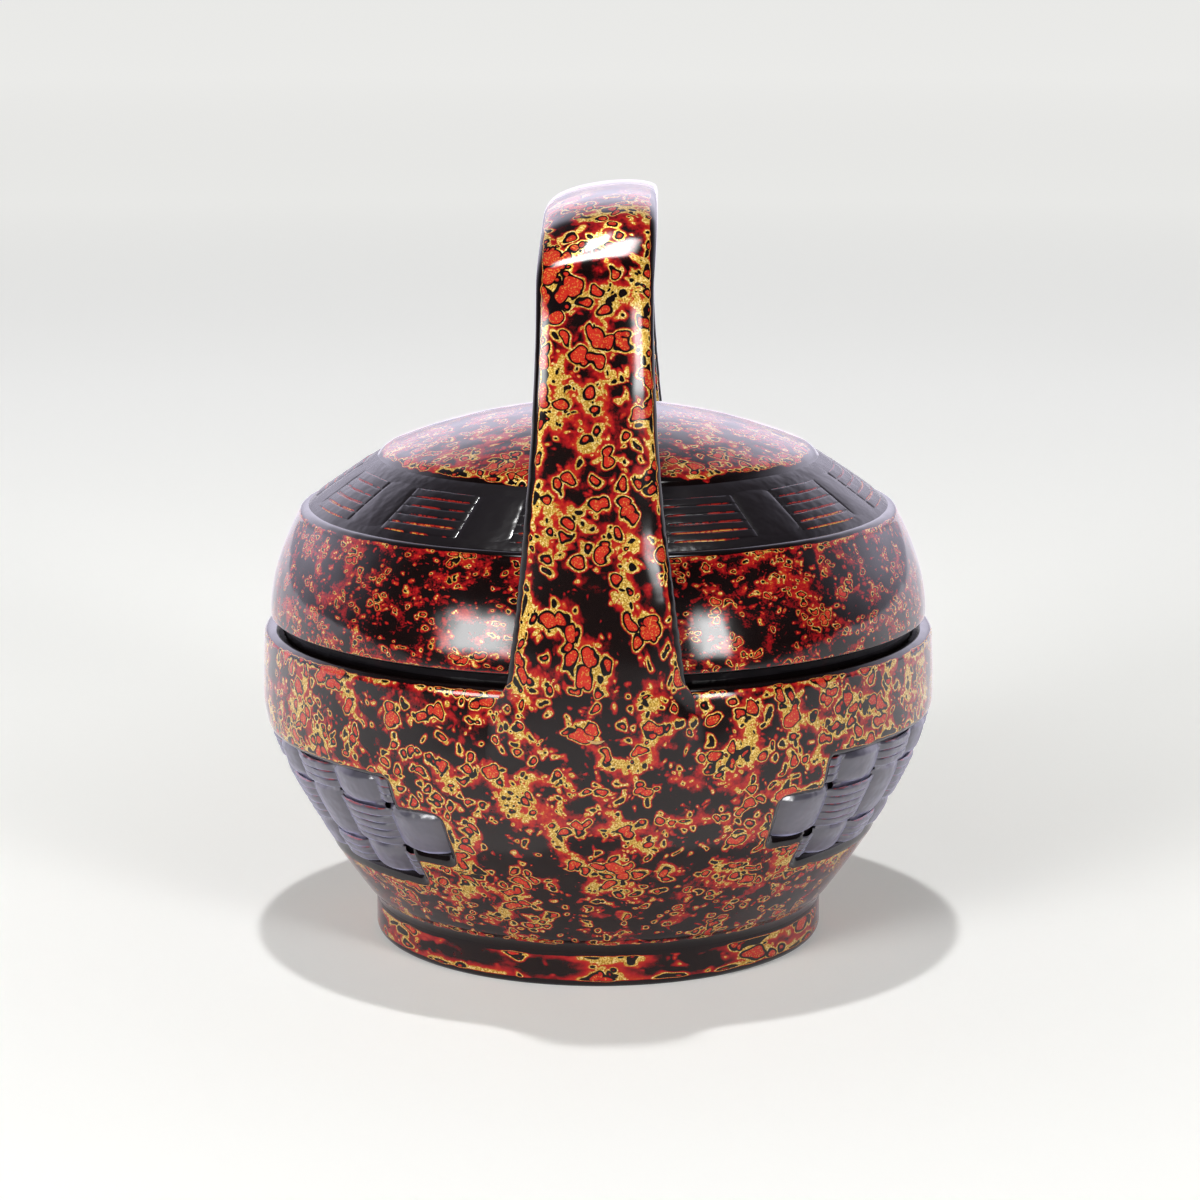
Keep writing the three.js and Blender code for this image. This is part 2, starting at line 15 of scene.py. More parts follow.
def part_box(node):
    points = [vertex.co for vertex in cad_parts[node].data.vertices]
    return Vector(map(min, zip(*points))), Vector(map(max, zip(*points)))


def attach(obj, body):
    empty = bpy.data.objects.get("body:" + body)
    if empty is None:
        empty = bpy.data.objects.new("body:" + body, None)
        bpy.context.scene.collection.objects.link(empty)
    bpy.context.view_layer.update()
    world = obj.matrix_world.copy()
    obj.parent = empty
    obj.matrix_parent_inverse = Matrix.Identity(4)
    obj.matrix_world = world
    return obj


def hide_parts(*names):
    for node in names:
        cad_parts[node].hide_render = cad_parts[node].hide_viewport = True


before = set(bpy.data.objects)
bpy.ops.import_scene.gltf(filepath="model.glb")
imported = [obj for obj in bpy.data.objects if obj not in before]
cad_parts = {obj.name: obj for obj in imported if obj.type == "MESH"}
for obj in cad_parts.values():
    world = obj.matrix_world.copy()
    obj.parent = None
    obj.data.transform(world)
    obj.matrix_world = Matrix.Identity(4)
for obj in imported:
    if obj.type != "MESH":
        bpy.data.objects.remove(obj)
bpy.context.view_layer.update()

MM = 0.001

# Makes a range node start and end softly
SOFT = {"interpolation_type": "SMOOTHSTEP"}


def node_box(node):
    """A node's lowest and highest corners in millimetres."""
    low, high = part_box(node)
    return Vector(low) / MM, Vector(high) / MM


# Sizes taken from the frame
FOOT_RADIUS = node_box("foot_ring")[1].x
FOOT_HEIGHT = node_box("foot_ring")[1].z
BELLY_RADIUS = node_box("bowl_skin")[1].x
RIM_HEIGHT = node_box("bowl_skin")[1].z
LID_BASE = node_box("lid_band")[0].z
LID_RADIUS = node_box("lid_band")[1].x
SHOULDER_HEIGHT = node_box("lid_band")[1].z
CAP_RADIUS = node_box("lid_cap")[1].x
APEX_HEIGHT = node_box("lid_cap")[1].z
STRAP_OUTER = node_box("handle_strap")[1].y
STRAP_TOP = node_box("handle_strap")[1].z

# Bowl and foot
FOOT_WALL = 7
FOOT_BORE_ROUNDING = 0.6
FOOT_SEAM = 0.02
BELLY_HEIGHT = 67
BELLY_TURN = 17
RIM_TURN = 10
RIM_DROP = 2
RIM_EDGE = 2.6
NECK_EDGE = 1
RIM_ROLL_HEIGHT = 0.35
RIM_ROLL_REACH = 6.1
SKIN_WALL = 3
CORE_FACE = 3.3
CORE_INSIDE = 5.5
CORE_LOW = 14
BOSS_GAP = 0.3
FLOOR_BASE = 5.5
FLOOR_TOP = 9.1
HOOP_LAP = 0.2
HOOPS = {"rim_hoop": ("basket", 0.3), "lid_collar": ("basket", 0.6), "lid_rim_hoop": ("lid", 0.5)}
SKIN_MESH = (560, 100)
TURNED_STEPS = 240

# Windows in the bowl's coat: side, azimuth of the front end and length up the wall of the middle
WINDOWS = {"right": (1, 32, 44), "left": (-1, 28, 39)}
WINDOW_STAKES = 10
WINDOW_PITCH = 12
WINDOW_TIER_STEP = 9
WINDOW_HALF_HEIGHT = 17
WINDOW_CORNER = 1.6
WINDOW_WANDER = 0.5
WANDER_SIZE = 15
WINDOW_ROLL_OUT = 1.5
WINDOW_ROLL_IN = -0.8
WINDOW_ROLL_DEPTH = 1.8
WINDOW_ROLL_MOST = 1.25

# Lid
SHOULDER_RADIUS = 78.7
SHOULDER_ROLL = 2.2
LIP_HEIGHT = 0.7
LIP_SETBACK = 0.9
LID_SIDE_TURN = 12.5
LID_CORE_BASE = 94.6
RING_RISE = 15
CAP_DEPTH = 3
CAP_ROLL = 2.6
LID_STEPS = 360

# Weave, with the depths of upper faces under the wall's surface
BLOCK_TOP = 0.15
BLOCK_FALL = 1.55
BLOCK_SHARE = 0.47
UNDER_TOP = 1.9
WEFT_SET = 0.1
GROOVE = 0.3
STRIP_LEAST = 0.5
STRIP_MOST = 1.1
STRIP_BED = 1.75
STAKE_SIDE_POWER = 1.8
STAKE_END_POWER = 4
END_DIP = 0.7
STAKE_END_GAP = 0.3
STAKE_DIP_RUN = 2.2
STAKE_SINK_RUN = 1.5
WEFT_END_GAP = 0.4
WEFT_DIP_RUN = 1.6
TIER_SPLIT = 7.4
TIERS = {"lower": (-12.4, 3), "middle": (0, 5), "upper": (12.4, 3)}
WEFT_PITCH = 2.4
WEFT_WIDTH = 2.5
WEFT_WAVE = 0.15
LID_BLOCK_TOP = 0.35
LID_BLOCK_FALL = 0.32
LID_BLOCK_MIDDLE = 12.2
LID_BLOCK_HALF = 8.8
LID_STAKES = 24
LID_STAKE_START = 2
LID_STAKE_END_GAP = 1.2
LID_WEFTS = 5
LID_WEFT_FALL = 0.2
LID_WEFT_PITCH = 3.1
LID_WEFT_WIDTH = 3.5
LID_WEFT_START = 4
LID_WEFT_OVERLAP = 0.06
LID_WEFT_WAVE = 0.2
LID_GROOVE = 0.16
STAKE_MESH = (36, 84)
WEFT_MESH = (16, 320)
LID_STAKE_MESH = (36, 64)
LID_WEFT_MESH = (16, 720)

# The lacquer that beds the lid's weave: lengths up the slope and depths, along the top and back under
LID_BED = [(1.2, 0.95), (2.4, 0.66), (4.2, 0.6), (19.3, 0.6), (21.5, 0.5), (23.5, 0.62), (25.2, 1.0)]
LID_BED += [(25.2, 2.8), (23.0, 2.8), (22.0, 1.8), (1.2, 1.8)]

# How much red and gold is rubbed through at a strip's edges, and between which shares across it
STAKE_RUB = 0.4
LID_STAKE_RUB = 0.3
STAKE_RUB_RUN = (0.8, 1.0)
WEFT_RUB = 0.7
WEFT_RUB_RUN = (0.6, 0.95)
LID_WEFT_RUBS = (1.2, 1.2, 0.85, 0.85, 0.85)
LID_WEFT_RUB_RUN = (0.64, 0.82)

# Strap handle; a run is the two heights between which something sets in
STRAP_THICKNESS = 5.5
STRAP_HALF_WIDTH = 14
STRAP_FOOT_HALF_WIDTH = 24
STRAP_OUTER_CURVE = 120
STRAP_INNER_CURVE = 190
STRAP_MESH = (64, 330)
FLARE_LOW = 70
FLARE_TURN = 140.3
FLARE_HIGH = 172.3
LEG_LOW = 100
LEG_TURN = 82
LEG_LEVEL_RUN = (104, 100)
LEG_TWIST = -5
LEG_TWIST_RUN = (104, 130)
LEAN_START = 150
LEAN_TURN = 165.8
LEAN_END = 180.4
LEAN = 5
CROWN_TWIST = 12
CROWN_TWIST_RUN = (178, 197)
CROWN_TILT = 0.045
CROWN_TILT_RUN = (136, 166)
HANDLE_SHIFT = 1.1
HANDLE_SKEW = 0.018
FOOT_FAIR_LOW = 54
FOOT_FAIR_RUN = 15
FAIRED_RUN = (RIM_HEIGHT + 3, RIM_HEIGHT - 9)
FAIRING_WIDTH = 4
FAIRING_SUNK = 0.03
FOOT_BED = 1.5
STRAP_EDGE = 0.3
FAR_FROM_EDGE = 20

# Studio, in metres
FLOOR_RADIUS = 30
FLOOR_FADE = 6
LAMP_AIM = Vector((0, 0, 0.1))
LAMP_SOFT = 0.3


# Curves and shapes that several pieces share

def eased(value, low, high):
    """0 at low and 1 at high with a soft start and end; low may be the larger."""
    share = min(max((value - low) / (high - low), 0), 1)
    return share * share * (3 - 2 * share)


def mixed(first, second, share):
    return first + (second - first) * share


def around(radius, azimuth, height):
    """A point on a ring about the basket's axis."""
    turn = math.radians(azimuth)
    return Vector((radius * math.sin(turn), -radius * math.cos(turn), height))


class Outline:
    """A curve of radius and height, made of smooth spans between control points and measured along."""

    SPAN_STEPS = 60

    def __init__(self, *spans):
        self.places = [Vector(spans[0][0])]
        for span in spans:
            for step in range(1, self.SPAN_STEPS + 1):
                self.places.append(self.on_span(span, step / self.SPAN_STEPS))
        self.marks = [0]
        for first, second in zip(self.places, self.places[1:]):
            self.marks.append(self.marks[-1] + (second - first).length)
        self.length = self.marks[-1]
        self.normals = []
        for before, after in zip(self.places[:1] + self.places[:-1], self.places[1:] + self.places[-1:]):
            self.normals.append(Vector((after.y - before.y, before.x - after.x)).normalized())

    @staticmethod
    def on_span(corners, share):
        """Draws the control points together until one is left."""
        corners = [Vector(corner) for corner in corners]
        while len(corners) > 1:
            corners = [a.lerp(b, share) for a, b in zip(corners, corners[1:])]
        return corners[0]

    def at(self, along):
        """The place at a length along the curve, and the normal to its right."""
        index = min(max(bisect.bisect_right(self.marks, along), 1), len(self.marks) - 1)
        share = (along - self.marks[index - 1]) / (self.marks[index] - self.marks[index - 1])
        place = self.places[index - 1].lerp(self.places[index], share)
        return place, self.normals[index - 1].lerp(self.normals[index], min(max(share, 0), 1))

    def below(self, along, depth):
        """The place that lies a depth under the curve."""
        place, normal = self.at(along)
        return place - normal * depth

    def at_height(self, height):
        """The length along a rising curve at which it reaches a height."""
        index = bisect.bisect_left([place.y for place in self.places], height)
        return self.marks[min(index, len(self.marks) - 1)]

    def run(self, start, end, step):
        """Lengths along the curve from start to end, evenly spaced."""
        count = max(2, math.ceil(abs(end - start) / step))
        return [mixed(start, end, index / count) for index in range(count + 1)]

    def drawn(self, start, end, step, depth=0):
        """Places a depth under the curve, from one length along it to another."""
        return [self.below(along, depth) for along in self.run(start, end, step)]


neck_height = FOOT_HEIGHT + FOOT_SEAM
neck_start = (FOOT_RADIUS - FOOT_SEAM, neck_height)
neck_turn = (FOOT_RADIUS + 0.2, neck_height + 1.8)
neck_end = (FOOT_RADIUS + 2.7, 13.6)
belly = (BELLY_RADIUS, BELLY_HEIGHT)
rim_shoulder = (BELLY_RADIUS - 0.55, RIM_HEIGHT - RIM_DROP)
roll_turn = (BELLY_RADIUS - 0.8, RIM_HEIGHT + RIM_ROLL_HEIGHT)
roll_end = (BELLY_RADIUS - RIM_ROLL_REACH, RIM_HEIGHT + RIM_ROLL_HEIGHT)
bowl_wall = Outline(
    (neck_start, neck_turn, neck_end),
    (neck_end, (BELLY_RADIUS, BELLY_HEIGHT - BELLY_TURN), belly),
    (belly, (BELLY_RADIUS, RIM_HEIGHT - RIM_TURN), rim_shoulder),
    (rim_shoulder, roll_turn, roll_end),
)
bowl_rim = bowl_wall.at_height(RIM_HEIGHT - RIM_DROP)
lip_top = LID_BASE + LIP_HEIGHT
lid_shoulder = (SHOULDER_RADIUS, SHOULDER_HEIGHT)
lid_side = Outline(((LID_RADIUS, lip_top), (LID_RADIUS, lip_top + LID_SIDE_TURN), lid_shoulder))
cap_edge = Vector((CAP_RADIUS, SHOULDER_HEIGHT + RING_RISE))
lid_slope = Outline((lid_shoulder, cap_edge))
cap_rise = APEX_HEIGHT - cap_edge.y
dome_radius = (CAP_RADIUS ** 2 + cap_rise ** 2) / (2 * cap_rise)


def dome(radius, depth):
    """A place under the cap's dome at a distance from the axis."""
    rise = math.sqrt((dome_radius - depth) ** 2 - radius ** 2)
    return Vector((radius, rise + APEX_HEIGHT - dome_radius))


# Making and finishing pieces

def blank_tube(bm, around_count, lengthwise, capped=True):
    """Adds an upright tube of radius 1 and height 1, cut into rings, and gives its points."""
    already = len(bm.verts)
    made = bmesh.ops.create_cone(
        bm, cap_ends=capped, segments=around_count, radius1=1, radius2=1, depth=1,
        matrix=Matrix.Translation((0, 0, 0.5)),
    )
    sides = {edge for vert in made["verts"] for edge in vert.link_edges}
    upright = [edge for edge in sides if abs(edge.verts[0].co.z - edge.verts[1].co.z) > 0.5]
    bmesh.ops.subdivide_edges(bm, edges=upright, cuts=lengthwise - 1, use_grid_fill=True)
    bm.verts.ensure_lookup_table()
    return bm.verts[already:]


def tube_place(vert):
    """A blank tube's point as an azimuth or angle in degrees and a share of its height."""
    return math.degrees(math.atan2(vert.co.x, -vert.co.y)), vert.co.z


def turned(profile, closed, steps=TURNED_STEPS):
    """A shell turned about the basket's axis from a profile of radius and height."""
    bm = bmesh.new()
    points = [bm.verts.new((place[0], 0, place[1])) for place in profile]
    for first, second in zip(points, points[1:]):
        bm.edges.new((first, second))
    if closed:
        bm.edges.new((points[-1], points[0]))
    bmesh.ops.spin(
        bm, geom=bm.verts[:] + bm.edges[:], cent=(0, 0, 0), axis=(0, 0, 1),
        angle=math.tau, steps=steps, use_merge=True,
    )
    return bm


def rounded_profile(corners, radius):
    """The places of a closed profile whose corners are rounded."""
    bm = bmesh.new()
    bm.faces.new([bm.verts.new((corner[0], 0, corner[1])) for corner in corners])
    bmesh.ops.bevel(
        bm, geom=bm.verts[:], offset=radius, segments=4, profile=0.5, affect="VERTICES", material=-1,
    )
    face = bm.faces[:][0]
    places = [(loop.vert.co.x, loop.vert.co.z) for loop in face.loops]
    bm.free()
    return places


def finish_piece(bm, name, finish, slot, body, *nodes):
    """Turns a shape in millimetres into a piece that stands for the named nodes."""
    bmesh.ops.remove_doubles(bm, verts=bm.verts, dist=0.002)
    bmesh.ops.recalc_face_normals(bm, faces=bm.faces)
    bmesh.ops.scale(bm, vec=Vector((MM, MM, MM)), verts=bm.verts)
    mesh = bpy.data.meshes.new(name)
    bm.to_mesh(mesh)
    bm.free()
    mesh.shade_smooth()
    mesh.set_sharp_from_angle(angle=math.radians(50))
    mesh.materials.append(finish)
    piece = bpy.data.objects.new(name, mesh)
    bpy.context.collection.objects.link(piece)
    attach(piece, body)
    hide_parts(*nodes)


# Finishes

def colour(code):
    """A linear colour from an sRGB hex value."""
    channels = [int(code[place:place + 2], 16) / 255 for place in (1, 3, 5)]
    linear = [c / 12.92 if c <= 0.04045 else ((c + 0.055) / 1.055) ** 2.4 for c in channels]
    return (*linear, 1)


def add_node(tree, kind, inputs=None, stops=(), **settings):
    """Adds a shader node with its settings, its ramp's stops, and its inputs as values or links."""
    node = tree.nodes.new("ShaderNode" + kind)
    for name, value in settings.items():
        setattr(node, name, value)
    for index, (place, code) in enumerate(stops):
        ramp = node.color_ramp.elements
        stop = ramp[index] if index < len(ramp) else ramp.new(place)
        stop.position = place
        stop.color = colour(code)
    for socket, value in (inputs or {}).items():
        if isinstance(value, bpy.types.Node):
            tree.links.new(value.outputs[0], node.inputs[socket])
        elif isinstance(value, bpy.types.NodeSocket):
            tree.links.new(value, node.inputs[socket])
        else:
            node.inputs[socket].default_value = value
    return node


def cleared(owner):
    """Empties the nodes of a material, lamp or world, and gives add_node bound to them."""
    owner.use_nodes = True
    owner.node_tree.nodes.clear()
    return functools.partial(add_node, owner.node_tree)


def new_finish(name):
    """An empty material, what adds its nodes, and the coordinates of the object in metres."""
    finish = bpy.data.materials.new(name)
    add = cleared(finish)
    return finish, add, add("TexCoord").outputs["Object"]


def mottled_lacquer(
    name, spot, cover, red, gilding, seed,
    streak=1.0, dabs_high=0.55, fuzz=0.04, low_streak=0.0, finer=0.0,
):
    """Mottled lacquer: black, red and gold coats laid over a dabbed relief and polished level.

    The eye gets the relief's contour lines: black ground, a soft red fade, a gold line or pool,
    a thin black line and a vermilion heart with gold flecks, all under one deep gloss.
    The spot is the distance between dabs in millimetres, and streak draws the dabs out level.
    Heights of the relief are shares of the spot: cover lifts the ground and dabs_high the dabs,
    red and gilding are the steps of the red fade and the gold, and fuzz frays their edges.
    Where low_streak is given, the pattern is drawn out level below that height in millimetres,
    and it is finer by a share below the rim than on the handle.
    """
    finish, add, place = new_finish(name)
    source = place
    if low_streak:
        height = add("SeparateXYZ", {0: place}).outputs["Z"]
        near_foot = add("MapRange", {
            "Value": height, "From Max": low_streak * MM, "To Min": 1.0, "To Max": 0.0})
        near_foot = add("Math", {0: near_foot, 1: 2.0}, operation="POWER")
        drop = add("Math", {0: near_foot, 1: -0.4 * low_streak * MM}, operation="MULTIPLY")
        drop = add("CombineXYZ", {"Z": drop})
        source = add("VectorMath", {0: place, 1: drop}, operation="ADD")
        finest = add("MapRange", {
            "Value": height, "From Min": RIM_HEIGHT * MM, "From Max": (RIM_HEIGHT + 26) * MM,
            "To Min": 1 + finer, "To Max": 1.0}, **SOFT)
        source = add("VectorMath", {0: source, "Scale": finest}, operation="SCALE")
    level_scale = 1 / (spot * streak * MM)
    dabs = add("Mapping", {
        "Vector": source, "Scale": (level_scale, level_scale, 1 / (spot * MM)),
        "Location": (seed, seed, seed)})
    drift = add("TexNoise", {"Vector": dabs, "Scale": 0.8, "Detail": 1.0})
    drift = add("VectorMath", {0: drift.outputs["Color"], 1: (0.5, 0.5, 0.5)}, operation="SUBTRACT")
    pulled = add("VectorMath", {0: drift, 1: (1.3, 1.3, 1.3), 2: dabs}, operation="MULTIPLY_ADD")

    def swells(scale, low, high, detail=0.0):
        """Soft swells of the relief between two heights, as many to a spot as the scale."""
        relief = add("TexNoise", {"Vector": dabs, "Scale": scale, "Detail": detail})
        return add("MapRange", {
            "Value": relief, "From Min": 0.2, "From Max": 0.8, "To Min": low, "To Max": high})

    def cones(scale, height):
        """Dabs that stand up to a height and fall away evenly, as many to a spot as the scale."""
        points = add("TexVoronoi", {"Vector": pulled, "Scale": scale})
        fall = add("Math", {0: points.outputs["Distance"], 1: 1 / scale}, operation="MULTIPLY")
        stand = add("Math", {0: height, 1: fall}, operation="SUBTRACT")
        return add("Math", {0: stand, 1: 0.0}, operation="MAXIMUM")

    ground_level = add("Math", {
        0: swells(0.5, cover - 0.30, cover + 0.26, detail=2.0),
        1: swells(0.13, -0.05, 0.05)}, operation="ADD")
    if low_streak:
        sunk = add("Math", {0: near_foot, 1: 0.22}, operation="MULTIPLY")
        ground_level = add("Math", {0: ground_level, 1: sunk}, operation="SUBTRACT")
    large_dabs = cones(1.0, swells(0.45, dabs_high - 0.22, dabs_high + 0.22))
    small_dabs = cones(2.0, swells(0.9, 0.02, 0.3))
    bumps = add("Math", {0: large_dabs, 1: small_dabs}, operation="MAXIMUM")
    relief = add("Math", {0: ground_level, 1: bumps}, operation="ADD")

    # The coats are rubbed to black at a piece's edge, and gold gathers in a fringe beside it
    edge = add("Attribute", attribute_name="edge").outputs["Fac"]
    worn = add("MapRange", {
        "Value": edge, "From Min": 0.4, "From Max": 1.9, "To Min": -1.2, "To Max": 0.0}, **SOFT)
    fringe = add("MapRange", {
        "Value": edge, "From Min": 1.9, "From Max": 4.4, "To Min": 0.13, "To Max": 0.0}, **SOFT)
    at_edge = add("Math", {0: worn, 1: fringe}, operation="ADD")
    level = add("Math", {0: relief, 1: at_edge}, operation="ADD")
    frayed = add("Math", {0: level, 1: swells(5.0, -fuzz, fuzz, detail=3.0)}, operation="ADD")

    # The ramps read a level between -0.5 and 0.5
    gold_high = red + gilding
    heart_low = gold_high + 0.115
    ground = add("Math", {0: frayed, 1: 0.5}, operation="ADD")
    ground = add("ValToRGB", {"Fac": ground}, stops=(
        (0.0, "#110a0a"), (0.465, "#170c0b"), (0.495, "#4a0c0e"), (0.5 + red * 0.5, "#ae161c"),
        (0.5 + red * 0.9, "#c2361e"), (0.51 + red, "#c8862e")))
    heart = add("Math", {0: level, 1: 0.5}, operation="ADD")
    heart = add("ValToRGB", {"Fac": heart}, stops=(
        (0.0, "#120b0c"), (0.5 + heart_low - 0.005, "#140b0c"), (0.5 + heart_low + 0.005, "#9a1c15"),
        (0.5 + heart_low + 0.02, "#c4281d"), (1.0, "#d03426")))
    inside = add("MapRange", {
        "Value": level, "From Min": gold_high - 0.005, "From Max": gold_high + 0.005})
    outside = add("Math", {0: 1.0, 1: inside}, operation="SUBTRACT")
    coats = add("MixRGB", {"Fac": inside, "Color1": ground, "Color2": heart})
    gold = add("MapRange", {"Value": frayed, "From Min": red - 0.006, "From Max": red + 0.008})
    gilt = add("Math", {0: gold, 1: outside}, operation="MULTIPLY")

    # The gold powder's flakes, finer than 0.1 mm in life, are drawn at about 0.4 mm so that they show
    grit = add("Mapping", {"Vector": place, "Scale": (1 / MM, 1 / MM, 1 / MM)})
    flakes = add("TexNoise", {"Vector": grit, "Scale": 2.4, "Detail": 2.0})
    glitter = add("ValToRGB", {"Fac": flakes}, stops=(
        (0.30, "#98702a"), (0.45, "#cf9f3a"), (0.56, "#e6c05c"), (0.68, "#fdeeb0")))
    powdered = add("MixRGB", {"Fac": gilt, "Color1": coats, "Color2": glitter})
    in_heart = add("MapRange", {
        "Value": level, "From Min": heart_low + 0.01, "From Max": heart_low + 0.03})
    flecks = add("MapRange", {
        "Value": flakes, "From Min": 0.57, "From Max": 0.63, "To Max": 0.7})
    flecks = add("Math", {0: flecks, 1: in_heart}, operation="MULTIPLY")
    paint = add("MixRGB", {"Fac": flecks, "Color1": powdered, "Color2": colour("#d8a444")})
    metal = add("Math", {0: gilt, 1: flecks}, operation="ADD")
    metal = add("Math", {0: metal, 1: 0.35}, operation="MULTIPLY")
    leaf = add("Bump", {"Height": flakes, "Strength": 0.2, "Distance": 0.0003})

    # The polished face still waves a little, over about 9 mm
    ripple = add("TexNoise", {"Vector": grit, "Scale": 0.11, "Detail": 1.0})
    polish = add("Bump", {"Height": ripple, "Strength": 0.06, "Distance": 0.003})
    shader = add("BsdfPrincipled", {
        "Base Color": paint, "Metallic": metal, "Roughness": 0.42, "Specular IOR Level": 0.0,
        "Normal": leaf, "Coat Weight": 1.0, "Coat Roughness": 0.095, "Coat IOR": 1.55,
        "Coat Normal": polish})
    add("OutputMaterial", {"Surface": shader})
    return finish


def black_lacquer(name, gloss):
    """Black lacquer: brushed and rubbed down, near black, its gloss waving softly over about 7 mm."""
    finish, add, place = new_finish(name)
    brushed = add("Mapping", {"Vector": place, "Scale": (1 / MM, 1 / MM, 1 / MM)})
    cloud = add("TexNoise", {"Vector": brushed, "Scale": 0.15, "Detail": 3.0})
    paint = add("ValToRGB", {"Fac": cloud}, stops=(
        (0.35, "#0c0a0d"), (0.6, "#141014"), (0.75, "#221013")))
    wave = add("Bump", {"Height": cloud, "Strength": 0.2, "Distance": 0.002})
    shader = add("BsdfPrincipled", {
        "Base Color": paint, "Roughness": 0.5, "Specular IOR Level": 0.5 * gloss, "Coat Weight": gloss,
        "Coat Roughness": 0.08, "Normal": wave, "Coat Normal": wave})
    add("OutputMaterial", {"Surface": shader})
    return finish


def lacquered_weave(name, ground, satin, sheen, gloss, coat, grain, ripple):
    """Split bamboo under thick black lacquer: soft black, red and gold rubbed through in the grooves; a
    ground paler than black is painted sheen.

    The more satin it is, the wider its gloss spreads; the sheen is the pale bloom at its edges.
    The gloss is the lacquer's IOR and the coat how much of it lies on top, the grain is the shine
    of the bamboo beneath, and the ripple is how uneven the lacquer has dried.
    """
    finish, add, place = new_finish(name)

    # What is rubbed through comes in patches of about 6 mm, broken into dots of about 1 mm
    strands = add("Mapping", {"Vector": place, "Scale": (1 / MM, 1 / MM, 1 / MM)})
    cloud = add("TexNoise", {"Vector": strands, "Scale": 0.16, "Detail": 2.0})
    flank = add("Attribute", attribute_name="rub").outputs["Fac"]
    shown = add("MapRange", {"Value": cloud, "From Min": 0.28, "From Max": 0.48})
    rub = add("Math", {0: flank, 1: shown}, operation="MULTIPLY")
    dots = add("TexNoise", {"Vector": strands, "Scale": 1.1, "Detail": 2.0})
    dots = add("MapRange", {
        "Value": dots, "From Min": 0.34, "From Max": 0.5, "To Min": 0.6, "To Max": 1.0})
    rub = add("Math", {0: rub, 1: dots}, operation="MULTIPLY")
    paint = add("ValToRGB", {"Fac": rub}, stops=(
        (0.0, ground), (0.35, ground), (0.52, "#8e1616"), (0.76, "#c4341e"), (0.9, "#d8a445")))
    wave = add("Bump", {"Height": cloud, "Strength": ripple, "Distance": 0.003})
    shader = add("BsdfPrincipled", {
        "Base Color": paint, "Roughness": 0.5, "Specular IOR Level": grain, "Coat Weight": coat,
        "Coat Roughness": 0.08 + satin, "Coat IOR": gloss, "Normal": wave, "Coat Normal": wave,
        "Sheen Weight": sheen, "Sheen Roughness": 0.4, "Sheen Tint": colour("#d6d4ff")})
    add("OutputMaterial", {"Surface": shader})
    return finish


def bare_bamboo():
    """Bare bamboo: pale straw, with fibres of about half a millimetre along the peg."""
    finish, add, place = new_finish("bare_split_bamboo")
    fibres = add("Mapping", {"Vector": place, "Scale": (2 / MM, 0.1 / MM, 2 / MM)})
    streaks = add("TexNoise", {"Vector": fibres, "Scale": 1.0, "Detail": 2.0})
    paint = add("ValToRGB", {"Fac": streaks}, stops=(
        (0.3, "#a8854e"), (0.55, "#c8a468"), (0.75, "#d8b87c")))
    relief = add("Bump", {"Height": streaks, "Strength": 0.3, "Distance": 0.0003})
    shader = add("BsdfPrincipled", {"Base Color": paint, "Roughness": 0.55, "Normal": relief})
    add("OutputMaterial", {"Surface": shader})
    return finish


bowl_mottle = mottled_lacquer(
    "mottled_lacquer_bowl", spot=4.4, cover=0.025, red=0.095, gilding=0.085, seed=7.3, dabs_high=0.51,
    low_streak=42, finer=0.15,
)
band_mottle = mottled_lacquer(
    "mottled_lacquer_band", spot=2.2, cover=-0.03, red=0.17, gilding=0.055, seed=11.0, streak=1.4,
    dabs_high=0.48, fuzz=0.08,
)
cap_mottle = mottled_lacquer(
    "mottled_lacquer_cap", spot=3.2, cover=0.03, red=0.15, gilding=0.07, seed=23.0, streak=1.1,
)
foot_mottle = mottled_lacquer(
    "mottled_lacquer_foot", spot=4.6, cover=-0.03, red=0.13, gilding=0.06, seed=37.0, streak=2.0,
    dabs_high=0.42,
)
black = black_lacquer("polished_black_lacquer", gloss=1.0)
dull_black = black_lacquer("dull_black_lacquer", gloss=0.1)
# The windows' lavender-grey ground is painted sheen: the same black lacquered bamboo as the lid's weave,
# lightened for the bright walls and floor it reflects.
window_weave_painted_sheen = lacquered_weave(
    "lacquered_bamboo_window_painted_sheen", "#3d3a48", satin=0.14, sheen=1.0, gloss=2.0, coat=1.0, grain=0.35,
    ripple=0.2,
)
lid_weave = lacquered_weave(
    "lacquered_bamboo_lid", "#171216", satin=0.1, sheen=0.0, gloss=1.5, coat=0.6, grain=0.05,
    ripple=0.12,
)
bamboo = bare_bamboo()


# Bowl

def oblong_distance(across, up, half_across, half_up):
    """Distance from a round-cornered oblong's edge, negative inside it."""
    over = Vector((abs(across) - half_across + WINDOW_CORNER, abs(up) - half_up + WINDOW_CORNER))
    outside = Vector((max(over.x, 0), max(over.y, 0))).length
    return outside + min(max(over.x, over.y), 0) - WINDOW_CORNER


def window_distance(azimuth, along, radius):
    """Millimetres on the wall from the edge of the nearest window, negative inside it."""
    half_span = WINDOW_STAKES * WINDOW_PITCH / 2
    half_long = radius * math.radians(half_span)
    half_tall = radius * math.radians(half_span - WINDOW_TIER_STEP)
    nearest = math.inf
    for side, front, middle in WINDOWS.values():
        turn = (side * azimuth - front - half_span + 180) % 360 - 180
        across = radius * math.radians(turn)
        up = along - middle
        wander = WINDOW_WANDER * noise.noise(Vector((across / WANDER_SIZE, along / WANDER_SIZE, side)))
        long_tier = oblong_distance(across, up, half_long, TIER_SPLIT)
        tall_tiers = oblong_distance(across, up, half_tall, WINDOW_HALF_HEIGHT)
        nearest = min(nearest, long_tier + wander, tall_tiers + wander)
    return nearest


